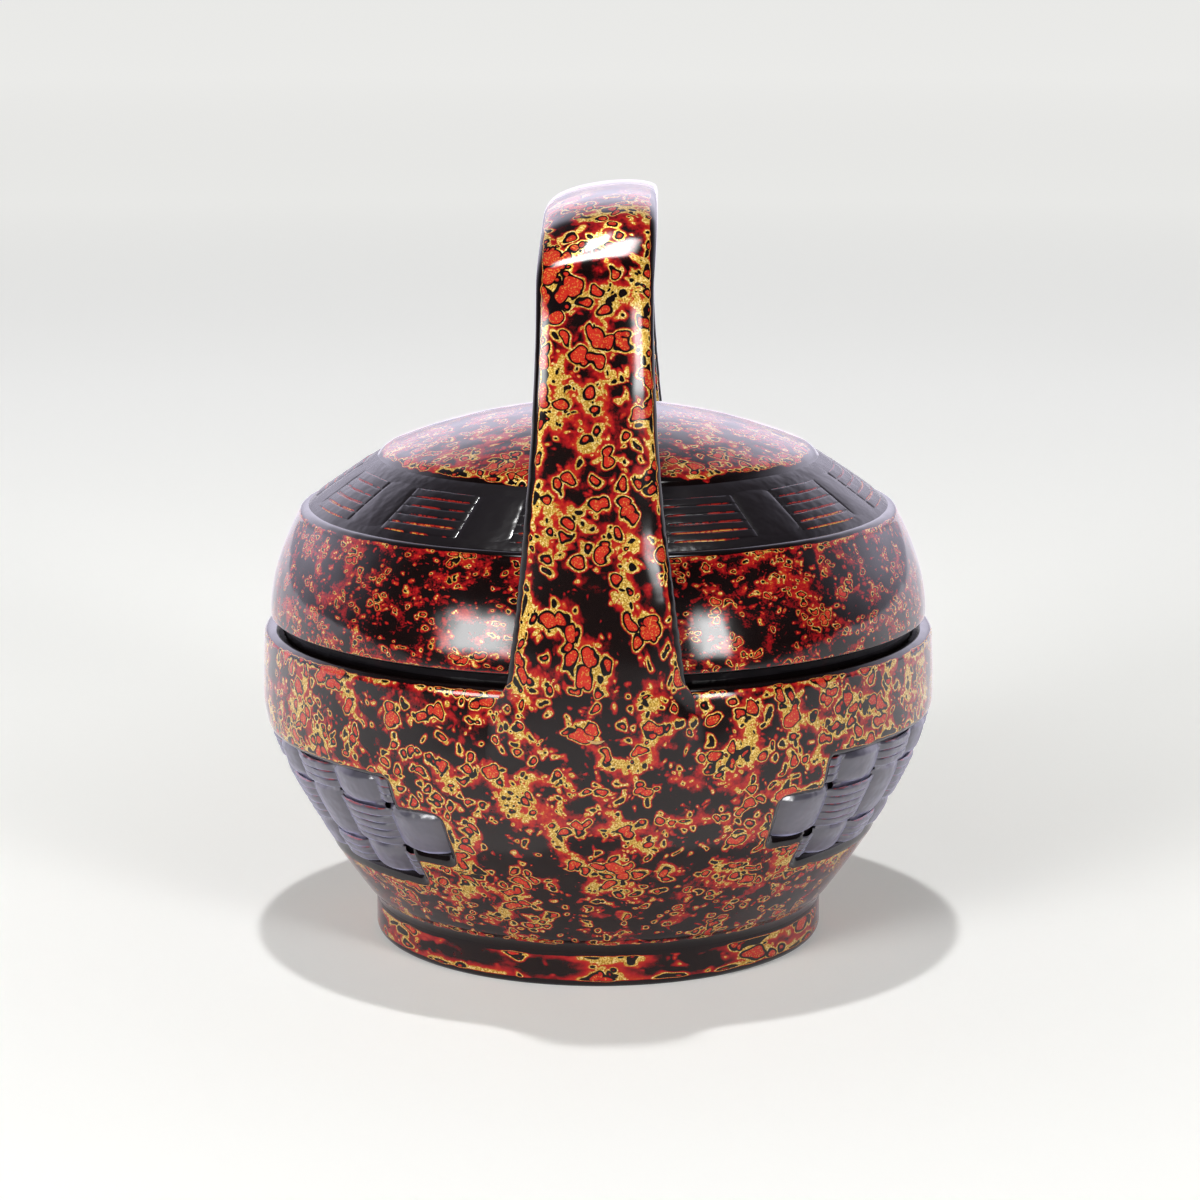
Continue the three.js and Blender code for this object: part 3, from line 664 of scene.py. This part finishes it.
def make_bowl_skin():
    """The mottled coat with a stepped window on each side, its edges rolled down to the weave.

    As on every mottled piece, the edge layer tells the finish about how many millimetres
    a point lies from where the mottle ends.
    """
    bm = bmesh.new()
    edge_layer = bm.verts.layers.float.new("edge")
    blank_tube(bm, *SKIN_MESH, capped=False)
    depth = {}
    for vert in bm.verts:
        azimuth, share = tube_place(vert)
        along = share * bowl_wall.length
        distance = window_distance(azimuth, along, bowl_wall.at(along)[0].x)
        roll = (WINDOW_ROLL_OUT - distance) / (WINDOW_ROLL_OUT - WINDOW_ROLL_IN)
        roll = min(max(roll, 0), WINDOW_ROLL_MOST)
        depth[vert] = WINDOW_ROLL_DEPTH * (1 - math.cos(roll * math.pi / 2))
        vert[edge_layer] = min(distance, bowl_rim + RIM_EDGE - along, along - NECK_EDGE)
    sunk = {vert for vert in bm.verts if depth[vert] > WINDOW_ROLL_DEPTH}
    open_faces = [face for face in bm.faces if sunk.issuperset(face.verts)]
    bmesh.ops.delete(bm, geom=open_faces, context="FACES")
    inner = bm.verts[:]
    outer = bmesh.ops.extrude_face_region(bm, geom=bm.faces[:])["geom"]
    outer = [part for part in outer if isinstance(part, bmesh.types.BMVert)]
    dips = {tuple(vert.co): depth[vert] for vert in inner}
    for vert in outer:
        azimuth, share = tube_place(vert)
        place = bowl_wall.below(share * bowl_wall.length, dips[tuple(vert.co)])
        vert.co = around(place.x, azimuth, place.y)
    for vert in inner:
        azimuth, share = tube_place(vert)
        place = bowl_wall.below(min(share * bowl_wall.length, bowl_rim), SKIN_WALL)
        vert.co = around(place.x, azimuth, place.y)
    finish_piece(bm, "mottled_bowl_coat", bowl_mottle, "mottled_lacquer", "basket", "bowl_skin")


def make_bowl_core():
    """The bowl under the coat, black lacquered, with its floor."""
    face_low = bowl_wall.at_height(CORE_LOW)
    boss = FOOT_RADIUS - FOOT_WALL - BOSS_GAP
    profile = [(0, FLOOR_BASE), (boss - 1, FLOOR_BASE), (boss, FLOOR_BASE + 1), (boss, neck_height)]
    profile += bowl_wall.drawn(face_low, bowl_rim, 2, CORE_FACE)
    profile += bowl_wall.drawn(bowl_rim, face_low, 2, CORE_INSIDE)
    profile += [(boss - 2, FLOOR_TOP + 1), (boss - 5, FLOOR_TOP), (0, FLOOR_TOP)]
    bm = turned(profile, closed=False)
    finish_piece(bm, "black_bowl_inside", black, "black_lacquer", "basket", "bowl_core")


def make_hoops():
    """The hoops at the bowl's rim and in the lid's mouth, and the collar that the lid slips over."""
    for node, (body, rounding) in HOOPS.items():
        low, high = node_box(node)
        bore = min(vert.co.xy.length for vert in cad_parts[node].data.vertices) / MM
        outside = roll_end[0] + HOOP_LAP if node == "rim_hoop" else high.x
        corners = [(bore, low.z), (outside, low.z), (outside, high.z), (bore, high.z)]
        bm = turned(rounded_profile(corners, rounding), closed=True)
        finish_piece(bm, "black_" + node, dull_black, "black_lacquer", body, node)


def make_foot():
    """The turned foot ring, mottled outside, with a rounded black bottom edge."""
    bore = FOOT_RADIUS - FOOT_WALL
    rounded_bore = bore + FOOT_BORE_ROUNDING
    toe = (FOOT_RADIUS, 1.8)
    outside = Outline(
        ((FOOT_RADIUS - 2.2, 0), (FOOT_RADIUS - 0.2, 0), toe),
        (toe, (FOOT_RADIUS, FOOT_HEIGHT)),
    )
    profile = outside.drawn(0, outside.length, 0.4)
    profile += [(rounded_bore, FOOT_HEIGHT), (bore, FOOT_HEIGHT - FOOT_BORE_ROUNDING)]
    profile += [(bore, FOOT_BORE_ROUNDING), (rounded_bore, 0)]
    bm = turned(profile, closed=True)
    edge_layer = bm.verts.layers.float.new("edge")
    for vert in bm.verts:
        on_face = vert.co.xy.length > FOOT_RADIUS - 1
        vert[edge_layer] = min(vert.co.z - 0.3, FOOT_HEIGHT + 0.6 - vert.co.z) if on_face else -1
    finish_piece(bm, "mottled_foot_ring", foot_mottle, "mottled_lacquer", "basket", "foot_ring")


# Lid

def make_lid_band():
    """The coat of the lid's upright side, rolled down to the woven ring."""
    roll_start = lid_side.length - SHOULDER_ROLL
    side = lid_side.drawn(0, roll_start, 0.8)
    shoulder_turn = lid_slope.below(-0.2, -0.5)
    shoulder_dip = lid_slope.below(1.9, 1.1)
    shoulder_end = lid_slope.below(3.4, 2.2)
    shoulder = Outline((side[-1], shoulder_turn, shoulder_dip), (shoulder_dip, shoulder_end))
    lip = Outline(((LID_RADIUS - LIP_SETBACK, LID_BASE), (LID_RADIUS - 0.1, LID_BASE), side[0]))
    profile = lip.drawn(0, lip.length, 0.2)
    profile += side[1:]
    profile += shoulder.drawn(0.3, shoulder.length, 0.35)
    profile += lid_side.drawn(roll_start, 0, 2, CAP_DEPTH)
    profile.append((LID_RADIUS - CAP_DEPTH, LID_BASE))
    bm = turned(profile, closed=True, steps=LID_STEPS)
    edge_layer = bm.verts.layers.float.new("edge")
    for vert in bm.verts:
        above_lip = (vert.co.z - LID_BASE - 0.3) * 6
        below_shoulder = (SHOULDER_HEIGHT - vert.co.z) * 2
        vert[edge_layer] = min(above_lip, below_shoulder + noise.noise(vert.co / 10))
    finish_piece(bm, "mottled_lid_band", band_mottle, "mottled_lacquer", "lid", "lid_band")


def make_lid_cap():
    """The coat of the lid's dome, its skirt rolled down to the woven ring."""
    slope_end = lid_slope.length
    top_radius = CAP_RADIUS - CAP_ROLL
    skirt_turn = dome(CAP_RADIUS + 0.2, -0.1)
    skirt_middle = lid_slope.below(slope_end - 1.8, 0.6)
    skirt_dip = lid_slope.below(slope_end - 3.4, 1.0)
    skirt_end = lid_slope.below(slope_end - 5.0, 1.9)
    skirt = Outline((dome(top_radius, 0), skirt_turn, skirt_middle), (skirt_middle, skirt_dip, skirt_end))
    profile = [dome(top_radius * index / 60, 0) for index in range(60)]
    profile += skirt.drawn(0, skirt.length, 0.4)
    profile += [lid_slope.below(slope_end - 5.0, 2.9), lid_slope.below(slope_end - 1.0, 2.95)]
    profile += [dome(top_radius * index / 20, CAP_DEPTH) for index in range(20, -1, -1)]
    bm = turned(profile, closed=False, steps=LID_STEPS)
    edge_layer = bm.verts.layers.float.new("edge")
    for vert in bm.verts:
        wander = 2.2 * noise.noise(vert.co / 14) + 0.8 * noise.noise(vert.co / 4)
        vert[edge_layer] = CAP_RADIUS + 1.6 + wander - vert.co.xy.length
    finish_piece(bm, "mottled_lid_cap", cap_mottle, "mottled_lacquer", "lid", "lid_cap")


def make_lid_core():
    """The woven dome under the coats, black lacquered."""
    seat_along = lid_side.at_height(LID_CORE_BASE)
    shells = []
    for depth in (CORE_FACE, CORE_INSIDE):
        shell = lid_side.drawn(seat_along, lid_side.length - 2, 2, depth)
        shell += lid_slope.drawn(2, lid_slope.length - 1, 2, depth)
        shell += [dome((CAP_RADIUS - 3) * index / 30, depth) for index in range(30, -1, -1)]
        shells.append(shell)
    bm = turned(shells[0] + shells[1][::-1], closed=False)
    mouth = [edge for edge in bm.edges if edge.is_boundary]
    bmesh.ops.bridge_loops(bm, edges=mouth)
    finish_piece(bm, "black_lid_inside", black, "black_lacquer", "lid", "lid_core")


# Weave

def strip_points(bm, around_count, lengthwise, capped=True):
    """Adds a blank flat strip, and gives each point with its shares across, up the edge and along."""
    for vert in blank_tube(bm, around_count, lengthwise, capped):
        angle, along = tube_place(vert)
        rise = min(max(3 * math.sin(math.radians(angle)), -1), 1)
        yield vert, 1 - abs(angle) / 90, rise, along


def rounded_fall(share, power=3):
    """How far a lacquered block's soft top has fallen towards its edge, 0 to 1."""
    return min(abs(share), 1) ** power


def strip_depth(top, rise):
    """Depth of a strip's point whose upper face lies at a depth."""
    under = max(top + STRIP_LEAST, min(top + STRIP_MOST, STRIP_BED))
    return mixed(under, top, (1 + rise) / 2)


def stake_top(index, up, across):
    """Depth of a window stake's upper face: a soft block where it lies over, sunk where it lies under."""
    in_middle = abs(up) <= TIER_SPLIT
    over = index % 2 == (0 if in_middle else 1)
    if not over:
        sunk = eased(abs(abs(up) - TIER_SPLIT), 0, STAKE_SINK_RUN)
        return mixed(BLOCK_TOP + BLOCK_FALL, UNDER_TOP, sunk)
    outer_half = (WINDOW_HALF_HEIGHT - TIER_SPLIT) / 2
    share = up / TIER_SPLIT if in_middle else (abs(up) - TIER_SPLIT - outer_half) / outer_half
    return BLOCK_TOP + BLOCK_FALL * (
        rounded_fall(across, STAKE_SIDE_POWER) + 0.5 * rounded_fall(share, STAKE_END_POWER))


def weft_top(place, is_over, across, fall=BLOCK_FALL, groove=GROOVE, overlap=0.0):
    """Depth of a weft's upper face at a place counted in stakes, and how far the weft shows there."""
    stake = round(place)
    gap = 1 - abs(place - stake) if is_over(stake) else abs(place - stake)
    meeting = 1 - BLOCK_SHARE + overlap
    shown = 1 - eased(gap, meeting - 0.12, meeting + 0.04)
    top = BLOCK_TOP + WEFT_SET + fall * rounded_fall(gap / meeting)
    top = mixed(top, UNDER_TOP, eased(gap, meeting, meeting + 0.2))
    return top + groove * rounded_fall(across, 2.5) * shown, shown


def make_window_stakes(window, side, front, middle):
    """The upright strips of a window, each over and under by turns in its three tiers."""
    for index in range(WINDOW_STAKES):
        azimuth = side * (front + (index + 0.5) * WINDOW_PITCH)
        end_stake = index in (0, WINDOW_STAKES - 1)
        reach = (TIER_SPLIT if end_stake else WINDOW_HALF_HEIGHT) - STAKE_END_GAP
        bm = bmesh.new()
        rub_layer = bm.verts.layers.float.new("rub")
        for vert, across, rise, share in strip_points(bm, *STAKE_MESH):
            up = mixed(-reach, reach, share)
            top = stake_top(index, up, across) + END_DIP * eased(reach - abs(up), STAKE_DIP_RUN, 0)
            place = bowl_wall.below(middle + up, strip_depth(top, rise))
            vert[rub_layer] = STAKE_RUB * eased(abs(across), *STAKE_RUB_RUN)
            vert.co = around(place.x, azimuth + across * BLOCK_SHARE * WINDOW_PITCH, place.y)
        node = f"{window}_stake_{index + 1:02d}"
        finish_piece(bm, "woven_" + node, window_weave_painted_sheen, "lacquered_weave", "basket", node)


def make_window_wefts(window, side, front, middle):
    """The level strips of a window, woven through its stakes in three tiers."""
    for tier_index, (tier, (centre, count)) in enumerate(TIERS.items()):
        step_in = 0 if tier == "middle" else WINDOW_TIER_STEP
        start = front + step_in + WEFT_END_GAP
        end = front + WINDOW_STAKES * WINDOW_PITCH - step_in - WEFT_END_GAP
        for row in range(count):
            level = middle + centre + (row - (count - 1) / 2) * WEFT_PITCH
            bm = bmesh.new()
            rub_layer = bm.verts.layers.float.new("rub")
            for vert, across, rise, share in strip_points(bm, *WEFT_MESH):
                turn = mixed(start, end, share)
                stakes_along = (turn - front) / WINDOW_PITCH - 0.5
                top, shown = weft_top(stakes_along, lambda stake: (stake + tier_index) % 2 == 1, across)
                top += END_DIP * eased(min(turn - start, end - turn), WEFT_DIP_RUN, 0)
                wave = WEFT_WAVE * noise.noise(Vector((turn / 4, row * 3.7, side + tier_index)))
                up = level + across * WEFT_WIDTH / 2 + wave
                place = bowl_wall.below(up, strip_depth(top, rise))
                vert[rub_layer] = WEFT_RUB * eased(abs(across), *WEFT_RUB_RUN) * shown
                vert.co = around(place.x, side * turn, place.y)
            node = f"{window}_weft_{tier}_{row + 1}"
            finish_piece(bm, "woven_" + node, window_weave_painted_sheen, "lacquered_weave", "basket", node)


def lid_stake_over(stake):
    return stake % 2 == 0


def make_lid_stakes():
    """The radial strips of the lid's woven ring, with the lacquer that beds them."""
    pitch = 360 / LID_STAKES
    bm = bmesh.new()
    rub_layer = bm.verts.layers.float.new("rub")
    for index in range(LID_STAKES):
        azimuth = (index + 0.5) * pitch
        for vert, across, rise, share in strip_points(bm, *LID_STAKE_MESH):
            along = mixed(LID_STAKE_START, lid_slope.length - LID_STAKE_END_GAP, share)
            top = UNDER_TOP
            if lid_stake_over(index):
                end_fall = min(abs((along - LID_BLOCK_MIDDLE) / LID_BLOCK_HALF), 1.3) ** 4
                top = min(LID_BLOCK_TOP + LID_BLOCK_FALL * (rounded_fall(across) + end_fall), UNDER_TOP)
            place = lid_slope.below(along, strip_depth(top, rise))
            vert[rub_layer] = LID_STAKE_RUB * eased(abs(across), *STAKE_RUB_RUN)
            vert.co = around(place.x, azimuth + across * BLOCK_SHARE * pitch, place.y)
    bed = turned([lid_slope.below(along, depth) for along, depth in LID_BED], closed=True)
    held = bpy.data.meshes.new("lacquer_bed")
    bed.to_mesh(held)
    bed.free()
    bm.from_mesh(held)
    bpy.data.meshes.remove(held)
    finish_piece(bm, "woven_lid_stakes", lid_weave, "lacquered_weave", "lid", "lid_stake_wheel")


def make_lid_wefts():
    """The level strips woven round the lid's ring."""
    pitch = 360 / LID_STAKES
    for row in range(LID_WEFTS):
        level = LID_WEFT_START + (row + 0.5) * LID_WEFT_PITCH
        bm = bmesh.new()
        rub_layer = bm.verts.layers.float.new("rub")
        for vert, across, rise, share in strip_points(bm, *LID_WEFT_MESH, capped=False):
            turn = share * 360
            top, shown = weft_top(
                turn / pitch - 0.5, lid_stake_over, across, LID_WEFT_FALL, LID_GROOVE, LID_WEFT_OVERLAP)
            bearing = math.radians(turn)
            ring_place = Vector((math.sin(bearing) * 9, math.cos(bearing) * 9, row))
            wave = LID_WEFT_WAVE * noise.noise(ring_place)
            place = lid_slope.below(level + across * LID_WEFT_WIDTH / 2 + wave, strip_depth(top, rise))
            vert[rub_layer] = LID_WEFT_RUBS[row] * eased(abs(across), *LID_WEFT_RUB_RUN) * shown
            vert.co = around(place.x, turn, place.y)
        node = f"lid_weft_{row + 1}"
        finish_piece(bm, "woven_" + node, lid_weave, "lacquered_weave", "lid", node)


# Handle

fair_place, fair_normal = bowl_wall.at(bowl_wall.at_height(FOOT_FAIR_LOW))
fair_rise = Vector((-fair_normal.y, fair_normal.x)) * FOOT_FAIR_RUN
leg_low = (STRAP_OUTER, LEG_LOW)
leg_top = (STRAP_OUTER, LEAN_START)
lean_top = Vector((STRAP_OUTER - LEAN, LEAN_END))
corner_turn = lean_top + Vector((-0.95, 2.78))
corner_end = corner_turn + Vector((-2.7, 2.75))
haunch_turn = corner_end + Vector((-6.64, 6.76))
haunch_end = Vector((73.4, STRAP_TOP - 5.6))
crown_turn = haunch_end + Vector((-8.6, 3.13))
crown_start = Vector((54, STRAP_TOP - 1.3))
crown_top = STRAP_TOP + 0.1
crown_ease = (crown_start.x - 12.7, crown_top)
strap_path = Outline(
    (fair_place, fair_place + fair_rise, (STRAP_OUTER, LEG_TURN), leg_low),
    (leg_low, leg_top),
    (leg_top, (STRAP_OUTER, LEAN_TURN), lean_top),
    (lean_top, corner_turn, corner_end),
    (corner_end, haunch_turn, haunch_end),
    (haunch_end, crown_turn, crown_start),
    (crown_start, crown_ease, (0, crown_top)),
)
flare_foot = (STRAP_FOOT_HALF_WIDTH, FLARE_LOW)
flare = Outline((flare_foot, (STRAP_HALF_WIDTH, FLARE_TURN), (STRAP_HALF_WIDTH, FLARE_HIGH)))


def strap_half_width(height):
    """Half of the strap's width at a height, widest at its foot."""
    if height >= FLARE_HIGH:
        return STRAP_HALF_WIDTH
    return flare.at(flare.at_height(max(height, FLARE_LOW)))[0].x


def strap_outline(angle):
    """A point on the outline of the round-edged strap, from -1 to 1 across and up."""
    turn = math.radians(angle)
    turn -= 0.2 * math.sin(4 * turn)  # evens out the points along the outline
    across, up = math.cos(turn), math.sin(turn)
    return math.copysign(abs(across) ** 0.5, across), math.copysign(abs(up) ** 0.5, up)


def strap_section(along, angle):
    """A point of the strap's front half as across, out and height, and its distance from the edge."""
    share_across, rise = strap_outline(angle)
    place, normal = strap_path.at(along)
    normal = normal.lerp(Vector((1, 0)), eased(place.y, *LEG_LEVEL_RUN)).normalized()
    half_width = strap_half_width(place.y)
    faired = eased(place.y, *FAIRED_RUN)

    # The free strap, with convex faces and a twist
    across = share_across * half_width
    outer = -across ** 2 / STRAP_OUTER_CURVE
    inner = -STRAP_THICKNESS - across ** 2 / STRAP_INNER_CURVE
    thick = mixed(inner, outer, (1 + rise) / 2)
    twist = LEG_TWIST * eased(place.y, *LEG_TWIST_RUN) + CROWN_TWIST * eased(place.y, *CROWN_TWIST_RUN)
    twist = math.radians(twist)
    free = place + normal * (thick * math.cos(twist) + across * math.sin(twist))
    across = across * math.cos(twist) - thick * math.sin(twist)

    # The foot, bedded in the bowl's wall and faired out to nothing at its sides
    spread = share_across * (half_width + FAIRING_WIDTH)
    shift = HANDLE_SHIFT - HANDLE_SKEW * place.x
    wall_along = bowl_wall.at_height(min(place.y, RIM_HEIGHT - RIM_DROP))
    wall_radius = bowl_wall.at(wall_along)[0].x
    wall_out = math.sqrt(wall_radius ** 2 - (spread + shift) ** 2)
    fall = eased(abs(spread), half_width - FAIRING_WIDTH, half_width + FAIRING_WIDTH)
    top = (place.x - wall_radius) * (1 - fall) - FAIRING_SUNK
    bedded = Vector((wall_out + mixed(-FOOT_BED, top, eased(rise, -0.3, 0.3)), place.y))

    edge = mixed(half_width - abs(across) + STRAP_EDGE, FAR_FROM_EDGE, faired)
    return mixed(across, spread, faired), free.lerp(bedded, faired), edge


def make_handle():
    """The strap that arches over the lid, a little higher in front, its feet faired into the bowl."""
    bm = bmesh.new()
    edge_layer = bm.verts.layers.float.new("edge")
    for vert in blank_tube(bm, *STRAP_MESH):
        angle, share = tube_place(vert)
        along = share * 2 * strap_path.length
        back = along > strap_path.length
        if back:
            along = 2 * strap_path.length - along
        across, out_and_up, edge = strap_section(along, angle)
        depth = out_and_up.x if back else -out_and_up.x
        height = out_and_up.y - CROWN_TILT * depth * eased(out_and_up.y, *CROWN_TILT_RUN)
        vert[edge_layer] = edge
        vert.co = Vector((across + HANDLE_SHIFT + HANDLE_SKEW * depth, depth, height))
    finish_piece(bm, "mottled_handle", bowl_mottle, "mottled_lacquer", "basket", "handle_strap")


make_bowl_skin()
make_bowl_core()
make_hoops()
make_foot()
make_lid_band()
make_lid_cap()
make_lid_core()
for window, (side, front, middle) in WINDOWS.items():
    make_window_stakes(window, side, front, middle)
    make_window_wefts(window, side, front, middle)
make_lid_stakes()
make_lid_wefts()
make_handle()
for node in ("handle_peg_front", "handle_peg_back"):
    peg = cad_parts[node]
    peg.data.materials.clear()
    peg.data.materials.append(bamboo)


# Studio

def floor_paper():
    """Matt white paper: an even sheet that keeps the basket's shadow and pales into the room behind.

    What the eye and the gloss of the lacquer see of it is lifted to the pale ground of a studio.
    In the gloss the sheet is dark in front of the basket and brighter and cooler behind it.
    """
    finish, add, place = new_finish("matt_white_paper")
    reach = add("VectorMath", {0: place}, operation="LENGTH").outputs["Value"]
    towards = add("SeparateXYZ", {0: place}).outputs["Y"]
    path = add("LightPath")
    glossy = path.outputs["Is Glossy Ray"]
    share = add("Math", {0: reach, 1: FLOOR_FADE}, operation="DIVIDE")
    pale = add("ValToRGB", {"Fac": share}, stops=(
        (0.02, "#6e6e6c"), (0.053, "#949492"), (0.185, "#bababa"), (0.435, "#d8d8d6"), (1.0, "#e2e2e0")))
    seen = add("Math", {0: path.outputs["Is Camera Ray"], 1: glossy}, operation="MAXIMUM")
    seen = add("Math", {0: seen, 1: path.outputs["Is Transmission Ray"]}, operation="MAXIMUM")
    dim = add("MapRange", {
        "Value": towards, "From Min": -0.5, "From Max": -0.08, "To Min": 0.93, "To Max": 0.0}, **SOFT)
    dim = add("Math", {0: dim, 1: glossy}, operation="MULTIPLY")
    sheet = add("MixRGB", {"Fac": dim, "Color1": colour("#f4f4f2"), "Color2": colour("#0a0a0a")})
    paper = add("BsdfDiffuse", {"Color": sheet, "Roughness": 0.5})
    ahead = add("MapRange", {
        "Value": towards, "From Min": -0.9, "From Max": -0.3, "To Min": 0.3, "To Max": 1.0}, **SOFT)
    far = add("MapRange", {
        "Value": reach, "From Min": 1.1, "From Max": 2.2, "To Min": 0.3, "To Max": 1.0}, **SOFT)
    ahead = add("Math", {0: ahead, 1: far}, operation="MAXIMUM")
    bright = add("Math", {0: seen, 1: dim}, operation="SUBTRACT")
    bright = add("Math", {0: bright, 1: ahead}, operation="MULTIPLY")
    behind = add("MapRange", {
        "Value": towards, "From Min": -0.1, "From Max": 0.25, "To Max": 1.2}, **SOFT)
    behind = add("Math", {0: behind, 1: glossy}, operation="MULTIPLY")
    bright = add("Math", {0: bright, 1: behind}, operation="ADD")
    cool = add("MixRGB", {"Fac": glossy, "Color1": (1, 1, 1, 1), "Color2": colour("#f4eeff")})
    tinted = add("MixRGB", {"Fac": 1.0, "Color1": pale, "Color2": cool}, blend_type="MULTIPLY")
    lift = add("Emission", {"Color": tinted, "Strength": bright})
    both = add("AddShader", {0: paper, 1: lift})
    add("OutputMaterial", {"Surface": both})
    return finish


def make_floor():
    """A wide pale table top."""
    bm = bmesh.new()
    bmesh.ops.create_circle(bm, cap_ends=True, segments=96, radius=FLOOR_RADIUS)
    mesh = bpy.data.meshes.new("studio_floor")
    bm.to_mesh(mesh)
    bm.free()
    mesh.materials.append(floor_paper())
    floor = bpy.data.objects.new("studio_floor", mesh)
    bpy.context.collection.objects.link(floor)


def make_lamp(name, azimuth, elevation, distance, width, height, power):
    """A soft box that faces the basket from an azimuth and an elevation, fading towards its edges."""
    lamp = bpy.data.lights.new(name, "AREA")
    lamp.shape = "RECTANGLE"
    lamp.size = width
    lamp.size_y = height
    lamp.energy = power
    add = cleared(lamp)
    sheet = add("NewGeometry").outputs["Parametric"]
    off = add("VectorMath", {0: sheet, 1: (0.5, 0.5, 0)}, operation="SUBTRACT")
    off = add("VectorMath", {0: off}, operation="ABSOLUTE")
    axes = add("SeparateXYZ", {0: off})
    fades = [add("MapRange", {
        "Value": axes.outputs[axis], "From Min": 0.5, "From Max": 0.5 - LAMP_SOFT,
    }, **SOFT) for axis in ("X", "Y")]
    fade = add("Math", {0: fades[0], 1: fades[1]}, operation="MULTIPLY")
    glow = add("Emission", {"Strength": fade})
    add("OutputLight", {"Surface": glow})
    holder = bpy.data.objects.new(name, lamp)
    lift = math.radians(elevation)
    holder.location = LAMP_AIM + around(distance * math.cos(lift), azimuth, distance * math.sin(lift))
    holder.rotation_euler = (LAMP_AIM - holder.location).to_track_quat("-Z", "Y").to_euler()
    bpy.context.collection.objects.link(holder)
    return holder


def make_world():
    """A pale room: bright walls behind and beside the basket, a dark side behind the camera."""
    world = bpy.data.worlds.new("studio_room")
    bpy.context.scene.world = world
    add = cleared(world)
    way = add("TexCoord").outputs["Generated"]
    axes = add("SeparateXYZ", {0: way})
    back = axes.outputs["Y"]
    up = axes.outputs["Z"]
    walls = add("MapRange", {
        "Value": back, "From Min": -0.2, "From Max": 0.75, "To Min": 0.05, "To Max": 2.05}, **SOFT)
    ceiling = add("MapRange", {
        "Value": up, "From Min": 0.34, "From Max": 0.78, "To Min": 1.0, "To Max": 0.05}, **SOFT)
    skirting = add("MapRange", {
        "Value": up, "From Min": 0.02, "From Max": 0.24, "To Min": 0.52, "To Max": 1.0}, **SOFT)
    walls = add("Math", {0: walls, 1: skirting}, operation="MULTIPLY")
    glow = add("Math", {0: walls, 1: ceiling}, operation="MULTIPLY")
    fill = add("Math", {0: glow, 1: 0.36}, operation="MULTIPLY")
    mirrored = add("Background", {"Color": colour("#efeaff"), "Strength": glow})
    lit = add("Background", {"Color": colour("#fbfaf8"), "Strength": fill})
    seen = add("Background", {"Color": colour("#ecebe9"), "Strength": 1.0})
    path = add("LightPath")
    room = add("MixShader", {0: path.outputs["Is Glossy Ray"], 1: lit, 2: mirrored})
    mix = add("MixShader", {0: path.outputs["Is Camera Ray"], 1: room, 2: seen})
    add("OutputWorld", {"Surface": mix})


def make_camera():
    """The photograph's view: level across, a little above the lid."""
    lens = bpy.data.cameras.new("camera")
    lens.lens = 96.92
    lens.sensor_width = 36
    lens.shift_x = 0.0015
    holder = bpy.data.objects.new("camera", lens)
    holder.location = (0, -0.850, 0.260)
    holder.rotation_euler = (math.radians(78.63), 0, 0)
    bpy.context.collection.objects.link(holder)
    bpy.context.scene.camera = holder


make_floor()
make_lamp("overhead_lamp", azimuth=-70, elevation=87.8, distance=1.2, width=0.07, height=0.07, power=13.8)
make_lamp("left_soft_box", azimuth=-40, elevation=10, distance=1.3, width=0.74, height=0.66, power=20)
make_lamp("right_soft_box", azimuth=38, elevation=9, distance=1.3, width=0.36, height=0.74, power=13)
gloss_box = make_lamp(
    "front_top_soft_box", azimuth=0, elevation=79, distance=1.3, width=1.1, height=0.34, power=30)
gloss_box.visible_diffuse = False
make_world()
make_camera()
bpy.context.scene.view_settings.view_transform = "Standard"
